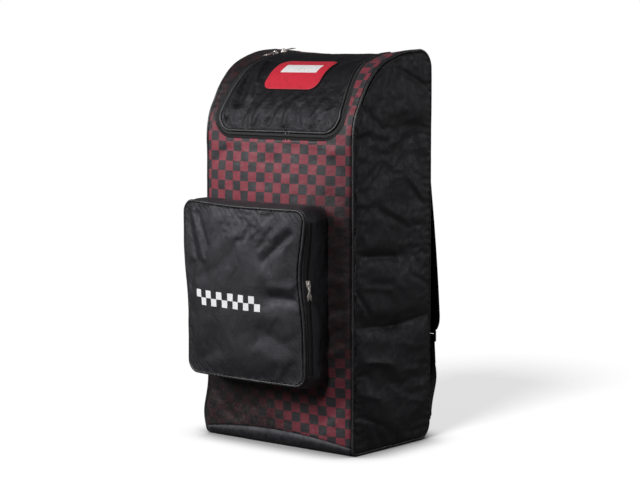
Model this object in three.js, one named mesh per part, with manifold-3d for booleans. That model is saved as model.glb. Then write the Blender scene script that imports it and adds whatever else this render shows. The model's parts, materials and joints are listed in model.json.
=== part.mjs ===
// A tall soft kit bag that stands on its base: checked front cloth, zipped lid over the sloping top,
// square zipped pocket on the front, and two padded shoulder straps behind. Millimetres, +Z up.
// X runs to the right of someone who faces the front, the front looks along -Y, and the origin is the
// middle of the underside.

import * as THREE from 'three';
import { mergeVertices } from 'three/addons/utils/BufferGeometryUtils.js';
import Module from 'manifold-3d';

const wasm = await Module();
wasm.setup();

// Main form
const WIDTH = 388;
const DEPTH = 258;
const HEIGHT = 804;
const CLOTH = 2;
const GAP = 0.3;
const BASE_FRONT_RADIUS = 12;
const BASE_BACK_RADIUS = 35;
const TOP_BACK_RADIUS = 40;
const FRONT_SWELL = 17;
const BACK_SWELL = 6;
const SIDE_SWELL = 8;
const FOLD_DEPTH = 6.5;
const HEM_HEIGHT = 17;
const HEM_RISE = 16;
const HEM_FADE = 96;
const SLUMP = 12;
const SLUMP_HEIGHT = 45;
const SLUMP_REACH = 42;
const SLUMP_BACK = 60;

// Corded seams
const PIPING_RADIUS = 3;
const PIPING_INSET = 2;
const PIPING_SIDES = 6;

// Lid, measured along the cloth
const LID_STRIP_FRONT = 21;
const LID_STRIP_BACK = 54;
const LID_CORNER = 50;
const LID_FRONT_HEIGHT = 623;
const LID_BACK_STRIP = 10;
const LID_TAPE = 12;
const LID_PIPING_RADIUS = 2.6;
const LID_LIFT = 1.5;
const LID_EASE = 60;
const LID_CUT_DEPTH = 8;
const PATCH_WIDTH = 144;
const PATCH_LENGTH = 106;
const PATCH_CORNER = 22;
const PATCH_PLACE = 0.54;
const PATCH_THICK = 1.2;

// Front pocket
const POCKET_WIDTH = 327;
const POCKET_HEIGHT = 356;
const POCKET_DEPTH = 66;
const POCKET_OFFSET = -24.5;
const POCKET_BASE = 139;
const POCKET_CORNER = 26;
const POCKET_TAPER = 3;
const POCKET_PUFF = 9;
const POCKET_WALL_PUFF = 5;
const POCKET_PINCH = 13;
const POCKET_LEAN = 13;
const POCKET_TAPE = 11;
const TAPE_THICK = 1;
const TAPE_MARGIN = 3;
const PINCH_HEIGHT = 45;
const PINCH_LENGTH = 75;
const LEAN_LOW = -60;
const LEAN_LENGTH = 150;
const LEAN_RISE = 0.45;

// Zip sliders and pulls
const SLIDER_WIDTH = 9;
const SLIDER_LENGTH = 13;
const SLIDER_THICK = 4;
const SLIDER_NOSE = 1.5;
const PULL_LENGTH = 38;
const PULL_WIDTH = 9;
const PULL_THICK = 1.8;
const PULL_RING = 2.4;
const PULL_BAR = 2.1;
const PULL_START = 30;
const BRIDGE_WIDTH = 2.6;
const BRIDGE_REACH = 2.4;
const BRIDGE_BAR = 1.2;
const BRIDGE_ROOM = 2.8;

// Shoulder straps
const STRAP_INSET = 76;
const STRAP_WIDTH = 62;
const STRAP_THICK = 9;
const STRAP_DEPTH = 90;
const STRAP_TOP = 716;
const STRAP_LOW = 210;
const STRAP_ROUND = 4;
const BUCKLE_WIDTH = 38;
const BUCKLE_LENGTH = 26;
const BUCKLE_THICK = 4;
const BUCKLE_CORNER = 2;
const BUCKLE_BAR = 5;
const BUCKLE_SLOT = 7;
const BUCKLE_SLOT_HIGH = 7.5;
const BUCKLE_SLOT_LOW = 18.5;
const WEBBING_TURN = 4;
const WEBBING_TAIL = 60;
const WEBBING_TAIL_LEAN = 0.08;
const WEBBING_ROOT = 2;
const WEBBING_BOW_LOW = 5;
const WEBBING_BOW_HIGH = 6;
const WEBBING_BOW_BACK = 2;
const WEBBING_WIDTH = 25;
const WEBBING_THICK = 1.6;
const TAB_LENGTH = 26;
const TAB_LOW = 8;
const TAB_TIP = 8;
const TAB_TIP_RISE = 8;
const TAB_HIGH = 62;
const TAB_THICK = 2.4;
const TAB_INSET = 16;
const TAB_MIDDLE = 38;

const EDGE_HALF = WIDTH / 2 - PIPING_INSET - PIPING_RADIUS - GAP;
const SEAM_DEPTH = PIPING_RADIUS + GAP;
const LID_HALF_FRONT = WIDTH / 2 - LID_STRIP_FRONT;
const LID_HALF_BACK = WIDTH / 2 - LID_STRIP_BACK;
const STRAP_OFFSET = WIDTH / 2 - STRAP_INSET;
const TAB_PLACE = WIDTH / 2 - TAB_INSET;

// The sloping top, seen from the side, as shares of the depth and the height
const TOP_ROWS = [
  { depth: 0.025, height: 0.833 },
  { depth: 0.076, height: 0.866 },
  { depth: 0.19, height: 0.922 },
  { depth: 0.354, height: 0.966 },
  { depth: 0.608, height: 0.993 },
];
const SHOULDER_LOW = 0.74;
const SHOULDER = 0.79;

// How far the front and top stand out along their length, as shares of the front swell
const SWELL_ROWS = [
  { run: 0.0, rise: 0.0 },
  { run: 0.05, rise: 0.45 },
  { run: 0.2, rise: 1.0 },
  { run: 0.5, rise: 0.95 },
  { run: 0.66, rise: 0.45 },
  { run: 0.76, rise: -0.2 },
  { run: 0.85, rise: -0.75 },
  { run: 0.94, rise: -0.65 },
  { run: 1.0, rise: 0.0 },
];

// Folds of the side panels: ends as shares of depth and height, width as a share of the depth, and
// rise as a share of the fold depth
const SIDE_FOLDS = [
  { depth: 0.05, height: 0.325, toDepth: 0.5, toHeight: 0.308, width: 0.07, rise: -0.77 },
  { depth: 0.5, height: 0.308, toDepth: 0.97, toHeight: 0.326, width: 0.08, rise: -0.54 },
  { depth: 0.12, height: 0.49, toDepth: 0.58, toHeight: 0.478, width: 0.06, rise: -0.62 },
  { depth: 0.1, height: 0.231, toDepth: 0.45, toHeight: 0.217, width: 0.07, rise: 0.62 },
  { depth: 0.08, height: 0.148, toDepth: 0.3, toHeight: 0.135, width: 0.07, rise: 0.46 },
  { depth: 0.52, height: 0.955, toDepth: 0.95, toHeight: 0.905, width: 0.09, rise: -0.69 },
  { depth: 0.72, height: 0.78, toDepth: 0.66, toHeight: 0.5, width: 0.16, rise: -1.00 },
];

// Folds of the pocket's face: ends as shares of its width and height, width as a share of its width,
// and rise as a share of the fold depth
const POCKET_FOLDS = [
  { across: 0.03, up: 0.93, toAcross: 0.2, toUp: 0.6, width: 0.06, rise: -0.54 },
  { across: 0.72, up: 0.74, toAcross: 0.93, toUp: 0.9, width: 0.06, rise: -0.62 },
  { across: 0.76, up: 0.5, toAcross: 0.97, toUp: 0.52, width: 0.06, rise: -0.69 },
  { across: 0.7, up: 0.28, toAcross: 0.95, toUp: 0.2, width: 0.08, rise: -0.46 },
  { across: 0.1, up: 0.06, toAcross: 0.3, toUp: 0.2, width: 0.08, rise: -0.38 },
];

// A shoulder strap's run from top to adjuster: fall as a share of its height, and how far its middle
// stands off the back as a share of the strap depth
const STRAP_ROWS = [
  { fall: 0.0, stand: 0.0 },
  { fall: 0.06, stand: 0.03 },
  { fall: 0.15, stand: 0.26 },
  { fall: 0.3, stand: 0.51 },
  { fall: 0.45, stand: 0.65 },
  { fall: 0.6, stand: 0.77 },
  { fall: 0.8, stand: 0.9 },
  { fall: 1.0, stand: 1.0 },
];

// The two sliders of the lid's zip: how far back each lies along the lid, and which way its pull points
const LID_SLIDERS = [
  { name: 'front', share: 0.82, forward: 1 },
  { name: 'rear', share: 0.9, forward: -1 },
];

// How finely each surface is faceted
const WELD = 1e-4;
const OUTLINE_SAMPLES = 900;
const PANEL_COLUMNS = 14;
const BACK_COLUMNS = 8;
const SIDE_COLUMNS = 11;
const SIDE_ROWS = 18;
const LID_COLUMNS = 11;
const LID_CORNER_STEPS = 5;
const LID_SIDE_STEPS = 13;
const LID_FRONT_STEPS = 10;
const PATCH_COLUMNS = 6;
const PATCH_CORNER_STEPS = 3;
const POCKET_COLUMNS = 11;
const POCKET_SIDE_STEPS = 8;
const POCKET_CORNER_STEPS = 3;
const POCKET_END_STEPS = 6;
const PULL_RING_STEPS = 8;
const PULL_HOLE_STEPS = 5;
const STRAP_STEPS = 16;
const WEBBING_STEPS = 14;
const WEBBING_TURN_STEPS = 5;
const WEBBING_TWIST_START = 2;
const WEBBING_TWIST_STEPS = 9;
const TAB_STEPS = 3;

// The belly of the side panels low down, as shares of the side swell and of the height
const BELLY_PLAIN = 0.75;
const BELLY_EXTRA = 0.5;
const BELLY_PLACE = 0.07;
const BELLY_REACH = 0.06;

const SIDES = [
  { name: 'left', side: -1 },
  { name: 'right', side: 1 },
];

const BLACK_CLOTH = new THREE.MeshStandardMaterial({ color: 0x1d1d21, roughness: 0.55 });
const CHECKED_CLOTH = new THREE.MeshStandardMaterial({ color: 0x5c2b33, roughness: 0.6 });
const CORD_CLOTH = new THREE.MeshStandardMaterial({ color: 0x29292d, roughness: 0.5 });
const TAPE_CLOTH = new THREE.MeshStandardMaterial({ color: 0x17171a, roughness: 0.7 });
const PATCH_RED = new THREE.MeshStandardMaterial({ color: 0xc82840, roughness: 0.5 });
const NICKEL = new THREE.MeshStandardMaterial({ color: 0xbdb8b2, roughness: 0.3, metalness: 1 });
const PLASTIC = new THREE.MeshStandardMaterial({ color: 0x131315, roughness: 0.4 });

const kitBag = new THREE.Group();

function clamp01(value) {
  return Math.min(1, Math.max(0, value));
}

function smooth(value) {
  const t = clamp01(value);
  return t * t * (3 - 2 * t);
}

function mix(from, to, share) {
  return from + (to - from) * share;
}

// Evenly spread values from one end to the other, both ends included
function spread(from, to, steps) {
  return Array.from({ length: steps + 1 }, (_, i) => mix(from, to, i / steps));
}

// The value of one named column at a place between the rows of a table
function readRows(rows, placeColumn, valueColumn, place) {
  if (place <= rows[0][placeColumn]) {
    return rows[0][valueColumn];
  }
  for (let i = 1; i < rows.length; i += 1) {
    const low = rows[i - 1];
    const high = rows[i];
    if (place <= high[placeColumn]) {
      const share = (place - low[placeColumn]) / (high[placeColumn] - low[placeColumn]);
      return mix(low[valueColumn], high[valueColumn], smooth(share));
    }
  }
  return rows[rows.length - 1][valueColumn];
}

// A fold is a soft ridge or groove that fades out past both of its ends
function foldRise(a, b, start, end, width) {
  const runA = end[0] - start[0];
  const runB = end[1] - start[1];
  const share = clamp01(((a - start[0]) * runA + (b - start[1]) * runB) / (runA * runA + runB * runB));
  const offA = a - start[0] - share * runA;
  const offB = b - start[1] - share * runB;
  return Math.exp(-(offA * offA + offB * offB) / (width * width));
}

// The outline of the bag seen from the side, once round: base, front, slope, top, back
function makeSideOutline() {
  const front = -DEPTH / 2;
  const back = DEPTH / 2;
  const path = new THREE.Path();
  path.moveTo(0, 0);
  path.lineTo(front + BASE_FRONT_RADIUS, 0);
  path.absarc(
    front + BASE_FRONT_RADIUS,
    BASE_FRONT_RADIUS,
    BASE_FRONT_RADIUS,
    -Math.PI / 2,
    -Math.PI,
    true,
  );
  path.lineTo(front, SHOULDER_LOW * HEIGHT);
  const slope = TOP_ROWS.map((row) => new THREE.Vector2(front + row.depth * DEPTH, row.height * HEIGHT));
  path.splineThru([
    new THREE.Vector2(front, SHOULDER * HEIGHT),
    ...slope,
    new THREE.Vector2(back - TOP_BACK_RADIUS, HEIGHT),
  ]);
  path.absarc(back - TOP_BACK_RADIUS, HEIGHT - TOP_BACK_RADIUS, TOP_BACK_RADIUS, Math.PI / 2, 0, true);
  path.lineTo(back, BASE_BACK_RADIUS);
  path.absarc(back - BASE_BACK_RADIUS, BASE_BACK_RADIUS, BASE_BACK_RADIUS, 0, -Math.PI / 2, true);
  path.lineTo(0, 0);
  return path;
}

const sideOutline = makeSideOutline();
const outlineLengths = sideOutline.getCurveLengths();
const ROUND = sideOutline.getLength();
const FLAT_FRONT = outlineLengths[0];
const FRONT_LOW = outlineLengths[1];
const FRONT_HIGH = outlineLengths[2];
const TOP_END = outlineLengths[3];
const BACK_HIGH = outlineLengths[4];
const BACK_LOW = outlineLengths[5];
const BASE_BACK = outlineLengths[6] - ROUND;
const BACK_SEAM_LOW = BACK_LOW - ROUND;

// Where a height on the straight front lies along the outline
function frontRun(height) {
  return FRONT_LOW + height - BASE_FRONT_RADIUS;
}

// How far the cloth stands out of the outline at a place along it and across the bag
function swell(x, run) {
  const share = Math.abs(x) / EDGE_HALF;
  const edge = clamp01(1 - share ** (x > 0 ? 3 : 2));
  const loopRun = ((run % ROUND) + ROUND) % ROUND;
  if (loopRun < FLAT_FRONT || loopRun > BACK_LOW) {
    return 0;
  }
  if (loopRun > BACK_HIGH) {
    return BACK_SWELL * edge * Math.sin((Math.PI * (loopRun - BACK_HIGH)) / (BACK_LOW - BACK_HIGH));
  }
  const frontShare = (loopRun - FLAT_FRONT) / (BACK_HIGH - FLAT_FRONT);
  return FRONT_SWELL * edge * readRows(SWELL_ROWS, 'run', 'rise', frontShare);
}

// How far the front's lower left corner sags sideways
function slump(x, y, z) {
  const left = smooth(-x / (WIDTH / 2));
  const low = Math.exp(-(((z - SLUMP_HEIGHT) / SLUMP_REACH) ** 2));
  return SLUMP * left * low * smooth((SLUMP_BACK - y) / (SLUMP_BACK + DEPTH / 2));
}

// A point of the bag: across, along the outline, and out of the cloth
function place(x, run, out) {
  const share = (((run % ROUND) + ROUND) % ROUND) / ROUND;
  const point = sideOutline.getPoint(share);
  const along = sideOutline.getTangent(share);
  const off = out + swell(x, run);
  const y = point.x - along.y * off;
  const z = point.y + along.x * off;
  return new THREE.Vector3(x - slump(x, y, z), y, z);
}

// Joins rings of points into one closed body, round in a loop or closed by an end at each side
function loft(rings, closed) {
  const count = rings[0].length;
  const positions = [];
  const index = [];
  for (const ring of rings) {
    for (const point of ring) {
      positions.push(point.x, point.y, point.z);
    }
  }
  const spans = closed ? rings.length : rings.length - 1;
  for (let i = 0; i < spans; i += 1) {
    const here = i * count;
    const next = ((i + 1) % rings.length) * count;
    for (let j = 0; j < count; j += 1) {
      const k = (j + 1) % count;
      index.push(here + j, next + j, next + k);
      index.push(here + j, next + k, here + k);
    }
  }
  if (!closed) {
    const last = (rings.length - 1) * count;
    for (let j = 0; j < count / 2 - 1; j += 1) {
      const a = j;
      const b = j + 1;
      const c = count - 2 - j;
      const d = count - 1 - j;
      index.push(a, b, c);
      index.push(a, c, d);
      index.push(last + a, last + c, last + b);
      index.push(last + a, last + d, last + c);
    }
  }
  const geometry = new THREE.BufferGeometry();
  geometry.setAttribute('position', new THREE.BufferAttribute(new Float32Array(positions), 3));
  geometry.setIndex(index);
  return faceOutwards(geometry);
}

// Turns the faces round if they point into the body
function faceOutwards(geometry) {
  const points = geometry.attributes.position;
  const index = geometry.index.array;
  const a = new THREE.Vector3();
  const b = new THREE.Vector3();
  const c = new THREE.Vector3();
  let volume = 0;
  for (let i = 0; i < index.length; i += 3) {
    a.fromBufferAttribute(points, index[i]);
    b.fromBufferAttribute(points, index[i + 1]);
    c.fromBufferAttribute(points, index[i + 2]);
    volume += a.dot(b.cross(c));
  }
  if (volume < 0) {
    for (let i = 0; i < index.length; i += 3) {
      const swap = index[i + 1];
      index[i + 1] = index[i + 2];
      index[i + 2] = swap;
    }
  }
  return geometry;
}

function addPiece(name, geometry, material) {
  const mesh = new THREE.Mesh(geometry, material);
  mesh.name = name;
  kitBag.add(mesh);
  return mesh;
}

// A piece of cloth: rows of outer points, each with its partner on the inner side
function clothSheet(rows, inner) {
  const rings = rows.map((row) => {
    const outer = row.map((spot) => inner(spot, false));
    const under = row.map((spot) => inner(spot, true)).reverse();
    return [...outer, ...under];
  });
  return loft(rings, false);
}

// Cloth that follows the outline, from rows of spots with x and run, and its own height over the bag
function outlineCloth(rows, thick, lift) {
  return clothSheet(rows, (spot, under) => {
    const out = lift(spot) - (under ? thick : 0);
    return place(spot.x, spot.run, out);
  });
}

// A round cord through a list of points, with the direction that points out of the bag at each
function cord(points, outs, radius, closed) {
  const rings = points.map((point, i) => {
    const before = points[closed ? (i + points.length - 1) % points.length : Math.max(0, i - 1)];
    const after = points[closed ? (i + 1) % points.length : Math.min(points.length - 1, i + 1)];
    const along = after.clone().sub(before).normalize();
    const side = along.clone().cross(outs[i]).normalize();
    const up = side.clone().cross(along).normalize();
    return spread(0, 2 * Math.PI, PIPING_SIDES).slice(0, -1).map((turn) => {
      const angle = turn + Math.PI / PIPING_SIDES;
      return point.clone()
        .addScaledVector(side, radius * Math.cos(angle))
        .addScaledVector(up, radius * Math.sin(angle));
    });
  });
  return loft(rings, closed);
}

function outwardAt(x, run) {
  return place(x, run, 1).sub(place(x, run, 0)).normalize();
}

function toManifold(geometry) {
  const merged = mergeVertices(geometry, WELD);
  return new wasm.Manifold(new wasm.Mesh({
    numProp: 3,
    vertProperties: new Float32Array(merged.attributes.position.array),
    triVerts: new Uint32Array(merged.index.array),
  }));
}

function fromManifold(solid) {
  const mesh = solid.getMesh();
  const geometry = new THREE.BufferGeometry();
  geometry.setAttribute('position', new THREE.BufferAttribute(mesh.vertProperties, 3));
  geometry.setIndex(new THREE.BufferAttribute(mesh.triVerts, 1));
  return geometry;
}

// Stations along the outline: close together round the small corners, wider on the long runs
const FRONT_STATIONS = [
  ...spread(frontRun(HEM_HEIGHT), FRONT_HIGH, 15),
  ...spread(FRONT_HIGH, TOP_END, 12).slice(1),
  ...spread(TOP_END, BACK_HIGH - GAP, 5).slice(1),
];
const BASE_STATIONS = [
  ...spread(BACK_SEAM_LOW + GAP, BASE_BACK, 4),
  ...spread(BASE_BACK, FLAT_FRONT, 2).slice(1),
  ...spread(FLAT_FRONT, FRONT_LOW, 3).slice(1),
  frontRun(HEM_HEIGHT) - GAP,
];
const BACK_STATIONS = spread(BACK_HIGH, BACK_LOW, 10);
const PIPING_STATIONS = [
  ...spread(BACK_SEAM_LOW, BASE_BACK, 4),
  ...spread(BASE_BACK, FLAT_FRONT, 2).slice(1),
  ...spread(FLAT_FRONT, FRONT_LOW, 3).slice(1),
  ...FRONT_STATIONS.slice(0, 5),
  ...spread(FRONT_STATIONS[4], FRONT_HIGH, 2).slice(1),
  ...spread(FRONT_HIGH, TOP_END, 12).slice(1),
  ...spread(TOP_END, BACK_HIGH, 5).slice(1),
  ...spread(BACK_HIGH, BACK_LOW, 2).slice(1, -1),
];
const ACROSS = spread(-EDGE_HALF, EDGE_HALF, PANEL_COLUMNS);

// The checked hem bows up in its middle, and the base cloth follows it
function hemRise(x, run) {
  const middle = 1 - (x / EDGE_HALF) ** 2;
  const fade = 1 - smooth((run - frontRun(HEM_HEIGHT)) / HEM_FADE);
  const reach = clamp01((run - FRONT_LOW) / (frontRun(HEM_HEIGHT) - GAP - FRONT_LOW));
  return HEM_RISE * middle * fade * reach;
}

function sheetSpots(stations, across) {
  return stations.map((run) => across.map((x) => ({ x, run: run + hemRise(x, run) })));
}

// Half the lid's opening at a place along the outline
function lidHalf(run) {
  const share = smooth((run - frontRun(SHOULDER * HEIGHT)) / (LID_BACK - frontRun(SHOULDER * HEIGHT)));
  return mix(LID_HALF_FRONT, LID_HALF_BACK, share);
}

const LID_FRONT = frontRun(LID_FRONT_HEIGHT);
const LID_BACK = TOP_END - LID_BACK_STRIP;

// The lid's right edge from front to back, drawn in by the same distance all along
function lidEdge(inset, backEnd = LID_BACK - 3 * GAP) {
  const corner = spread(0, Math.PI / 2, LID_CORNER_STEPS).map((angle) => ({
    half: LID_HALF_FRONT - LID_CORNER + (LID_CORNER - inset) * Math.sin(angle),
    run: LID_FRONT + LID_CORNER - (LID_CORNER - inset) * Math.cos(angle),
  }));
  const sideRuns = [...spread(LID_FRONT + LID_CORNER, LID_BACK, LID_SIDE_STEPS).slice(1, -1), backEnd];
  const side = sideRuns.map((run) => ({ half: lidHalf(run) - inset, run }));
  return [...corner, ...side];
}

// The whole way round the lid: up the left, along the front and back up the right
function lidTrack(inset) {
  const edge = lidEdge(inset);
  const left = edge.map(({ half, run }) => ({ x: -half, run })).reverse();
  const right = edge.map(({ half, run }) => ({ x: half, run }));
  const front = spread(-edge[0].half, edge[0].half, LID_FRONT_STEPS).slice(1, -1)
    .map((x) => ({ x, run: edge[0].run }));
  return [...left, ...front, ...right];
}

const LID_PIPING_INSET = GAP + LID_TAPE + GAP + LID_PIPING_RADIUS;
const LID_PANEL_INSET = LID_PIPING_INSET + LID_PIPING_RADIUS + GAP;

function lidRows(inset, columns, backEnd) {
  return lidEdge(inset, backEnd)
    .map(({ half, run }) => spread(-half, half, columns).map((x) => ({ x, run })));
}

// How far the lid's middle lifts off the plain surface, level with it along the edges
function lidLift(spot) {
  const side = 1 - (spot.x / LID_HALF_FRONT) ** 2;
  const ends = smooth((spot.run - LID_FRONT) / LID_EASE) * smooth((LID_BACK - spot.run) / LID_EASE);
  return LID_LIFT * side * ends;
}

function buildMainPanels() {
  const flat = () => 0;
  const whole = outlineCloth(sheetSpots(FRONT_STATIONS, ACROSS), CLOTH, flat);
  const cutter = outlineCloth(lidRows(0, BACK_COLUMNS, LID_BACK), 2 * LID_CUT_DEPTH, () => LID_CUT_DEPTH);
  const front = toManifold(whole).subtract(toManifold(cutter));
  addPiece('front_panel', fromManifold(front), CHECKED_CLOTH);
  addPiece('base_panel', outlineCloth(sheetSpots(BASE_STATIONS, ACROSS), CLOTH, flat), BLACK_CLOTH);
  const backAcross = spread(-EDGE_HALF, EDGE_HALF, BACK_COLUMNS);
  addPiece('back_panel', outlineCloth(sheetSpots(BACK_STATIONS, backAcross), CLOTH, flat), BLACK_CLOTH);
}

// Lowest and highest points of the drawn-in outline on a vertical line at y
function outlineSpan(y, inset) {
  const heights = [];
  let before = place(WIDTH, 0, -inset);
  for (let i = 1; i <= OUTLINE_SAMPLES; i += 1) {
    const here = place(WIDTH, (i / OUTLINE_SAMPLES) * ROUND, -inset);
    if ((before.y - y) * (here.y - y) <= 0 && before.y !== here.y) {
      heights.push(mix(before.z, here.z, (y - before.y) / (here.y - before.y)));
    }
    before = here;
  }
  return { low: Math.min(...heights), high: Math.max(...heights) };
}

function sideRise(y, z) {
  const u = y / DEPTH + 0.5;
  const v = z / HEIGHT;
  const round = (1 - (2 * u - 1) ** 4) * (1 - (2 * v - 1) ** 8);
  const belly = BELLY_PLAIN + BELLY_EXTRA * Math.exp(-(((v - BELLY_PLACE) / BELLY_REACH) ** 2));
  const folds = SIDE_FOLDS.reduce((sum, fold) => sum + fold.rise * foldRise(
    y,
    z,
    [(fold.depth - 0.5) * DEPTH, fold.height * HEIGHT],
    [(fold.toDepth - 0.5) * DEPTH, fold.toHeight * HEIGHT],
    fold.width * DEPTH,
  ), 0);
  return round * (SIDE_SWELL * belly + FOLD_DEPTH * folds);
}

function buildSidePanel(side, name) {
  const inset = SEAM_DEPTH + PIPING_RADIUS + GAP;
  const reach = DEPTH / 2 - inset;
  const columns = spread(-1, 1, SIDE_COLUMNS).map((t) => reach * Math.sin((t * Math.PI) / 2));
  const rows = columns.map((y) => {
    const inside = Math.min(reach - WELD, Math.max(-reach + WELD, y));
    const span = outlineSpan(inside, inset);
    return spread(0, 1, SIDE_ROWS).map((share) => ({ y, z: mix(span.low, span.high, share) }));
  });
  const geometry = clothSheet(rows, (spot, under) => {
    const x = side * (WIDTH / 2 + sideRise(spot.y, spot.z) - (under ? CLOTH : 0));
    return new THREE.Vector3(x - slump(x, spot.y, spot.z), spot.y, spot.z);
  });
  addPiece(`side_panel_${name}`, geometry, BLACK_CLOTH);
}

function buildSidePiping(side, name) {
  const x = side * (WIDTH / 2 - PIPING_INSET);
  const points = PIPING_STATIONS.map((run) => place(x, run, -SEAM_DEPTH));
  const outs = PIPING_STATIONS.map(() => new THREE.Vector3(side, 0, 0));
  addPiece(`side_piping_${name}`, cord(points, outs, PIPING_RADIUS, true), CORD_CLOTH);
}

function buildLid() {
  addPiece('lid_panel', outlineCloth(lidRows(LID_PANEL_INSET, LID_COLUMNS), CLOTH, lidLift), BLACK_CLOTH);
  const outer = lidTrack(GAP);
  const inner = lidTrack(GAP + LID_TAPE);
  const tape = outer.map((spot, i) => [
    place(spot.x, spot.run, 0),
    place(inner[i].x, inner[i].run, 0),
    place(inner[i].x, inner[i].run, -CLOTH),
    place(spot.x, spot.run, -CLOTH),
  ]);
  addPiece('lid_zip_tape', loft(tape, false), TAPE_CLOTH);
  const track = lidTrack(LID_PIPING_INSET);
  const points = track.map(({ x, run }) => place(x, run, 0));
  const outs = track.map(({ x, run }) => outwardAt(x, run));
  addPiece('lid_piping', cord(points, outs, LID_PIPING_RADIUS, false), CORD_CLOTH);
}

// A plain rounded patch sewn on the middle of the slope
function buildPatch() {
  const middle = mix(FRONT_HIGH, TOP_END, PATCH_PLACE);
  const corner = spread(0, Math.PI / 2, PATCH_CORNER_STEPS);
  const half = PATCH_WIDTH / 2 - PATCH_CORNER;
  const length = PATCH_LENGTH / 2 - PATCH_CORNER;
  const lower = corner.map((angle) => ({
    half: half + PATCH_CORNER * Math.sin(angle),
    run: middle - length - PATCH_CORNER * Math.cos(angle),
  }));
  const upper = corner.map((angle) => ({
    half: half + PATCH_CORNER * Math.cos(angle),
    run: middle + length + PATCH_CORNER * Math.sin(angle),
  }));
  const straight = spread(-length, length, 4).slice(1, -1)
    .map((along) => ({ half: PATCH_WIDTH / 2, run: middle + along }));
  const rows = [...lower, ...straight, ...upper]
    .map((row) => spread(-row.half, row.half, PATCH_COLUMNS).map((x) => ({ x, run: row.run })));
  const lift = (spot) => lidLift(spot) + 2 * GAP + PATCH_THICK;
  addPiece('lid_patch', outlineCloth(rows, PATCH_THICK, lift), PATCH_RED);
}

const POCKET_MIDDLE = POCKET_BASE + POCKET_HEIGHT / 2;

// One side of the pocket's outline from its lower to its upper edge, drawn in by a distance
function pocketEdge(inset) {
  const half = POCKET_WIDTH / 2 - POCKET_CORNER;
  const rise = POCKET_HEIGHT / 2 - POCKET_CORNER;
  const radius = POCKET_CORNER - inset;
  const corner = spread(0, Math.PI / 2, POCKET_CORNER_STEPS);
  const lower = corner.map((angle) => ({
    half: half + radius * Math.sin(angle),
    up: -rise - radius * Math.cos(angle),
  }));
  const upper = corner.map((angle) => ({
    half: half + radius * Math.cos(angle),
    up: rise + radius * Math.sin(angle),
  }));
  const side = spread(-rise, rise, POCKET_SIDE_STEPS).slice(1, -1)
    .map((up) => ({ half: half + radius, up }));
  return [...lower, ...side, ...upper];
}

// The whole outline once round, starting at the left of the lower edge
function pocketTrack(inset) {
  const edge = pocketEdge(inset);
  const first = edge[0];
  const last = edge[edge.length - 1];
  const right = edge.map(({ half, up }) => ({ x: half, up }));
  const left = edge.map(({ half, up }) => ({ x: -half, up })).reverse();
  const low = spread(-first.half, first.half, POCKET_END_STEPS).slice(1, -1)
    .map((x) => ({ x, up: first.up }));
  const high = spread(last.half, -last.half, POCKET_END_STEPS).slice(1, -1)
    .map((x) => ({ x, up: last.up }));
  return [...low, ...right, ...high, ...left];
}

// A point of the pocket, which narrows towards its face, is pinched in at the right of its middle
// and leans outwards at its upper left corner
function pocketPlace(x, up, out) {
  const share = clamp01(out / POCKET_DEPTH);
  const shrink = 1 - (POCKET_TAPER * share) / (POCKET_WIDTH / 2);
  const middle = Math.exp(-(((up - PINCH_HEIGHT) / PINCH_LENGTH) ** 2));
  const pinch = POCKET_PINCH * share * smooth(x / (POCKET_WIDTH / 2)) * middle;
  const left = smooth(-x / (POCKET_WIDTH / 2));
  const lean = POCKET_LEAN * share * left * smooth((up - LEAN_LOW) / LEAN_LENGTH);
  const run = frontRun(POCKET_MIDDLE + up * shrink + LEAN_RISE * lean);
  return place(POCKET_OFFSET + x * shrink - pinch - lean, run, out);
}

const WALL_FRONT = POCKET_DEPTH - PIPING_INSET - PIPING_RADIUS - GAP;
const TAPE_FRONT = WALL_FRONT - TAPE_MARGIN;
const WALL_STATIONS = [2 * GAP, WALL_FRONT * 0.35, TAPE_FRONT - POCKET_TAPE, TAPE_FRONT, WALL_FRONT];

// How far the pocket's wall swells out half way between bag and face
function wallPuff(out) {
  return POCKET_WALL_PUFF * Math.sin(Math.PI * clamp01(out / WALL_FRONT));
}

function faceRise(x, up) {
  const half = POCKET_WIDTH / 2;
  const rise = POCKET_HEIGHT / 2;
  const round = clamp01(1 - (x / half) ** 4) * clamp01(1 - (up / rise) ** 4);
  const folds = POCKET_FOLDS.reduce((sum, fold) => sum + fold.rise * foldRise(
    x,
    up,
    [(fold.across - 0.5) * POCKET_WIDTH, (fold.up - 0.5) * POCKET_HEIGHT],
    [(fold.toAcross - 0.5) * POCKET_WIDTH, (fold.toUp - 0.5) * POCKET_HEIGHT],
    fold.width * POCKET_WIDTH,
  ), 0);
  return round * (POCKET_PUFF + FOLD_DEPTH * folds);
}

function buildPocket() {
  const wallRings = pocketTrack(0).map((spot, i, all) => {
    const inner = pocketTrack(CLOTH)[i];
    const outward = new THREE.Vector2(spot.x - inner.x, spot.up - inner.up).normalize();
    const wall = (from, out) => pocketPlace(
      from.x + outward.x * wallPuff(out),
      from.up + outward.y * wallPuff(out),
      out,
    );
    return [
      ...WALL_STATIONS.map((out) => wall(spot, out)),
      ...WALL_STATIONS.map((out) => wall(inner, out)).reverse(),
    ];
  });
  addPiece('pocket_gusset', loft(wallRings, true), BLACK_CLOTH);

  const faceRows = pocketEdge(PIPING_INSET + PIPING_RADIUS + GAP)
    .map(({ half, up }) => spread(-half, half, POCKET_COLUMNS).map((x) => ({ x, up })));
  const face = clothSheet(faceRows, (spot, under) => pocketPlace(
    spot.x,
    spot.up,
    POCKET_DEPTH + faceRise(spot.x, spot.up) - (under ? CLOTH : 0),
  ));
  addPiece('pocket_face', face, BLACK_CLOTH);

  const track = pocketTrack(PIPING_INSET);
  const points = track.map(({ x, up }) => pocketPlace(x, up, POCKET_DEPTH - PIPING_INSET));
  const outs = points.map(() => new THREE.Vector3(0, -1, 0));
  addPiece('pocket_piping', cord(points, outs, PIPING_RADIUS, true), CORD_CLOTH);
}

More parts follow.
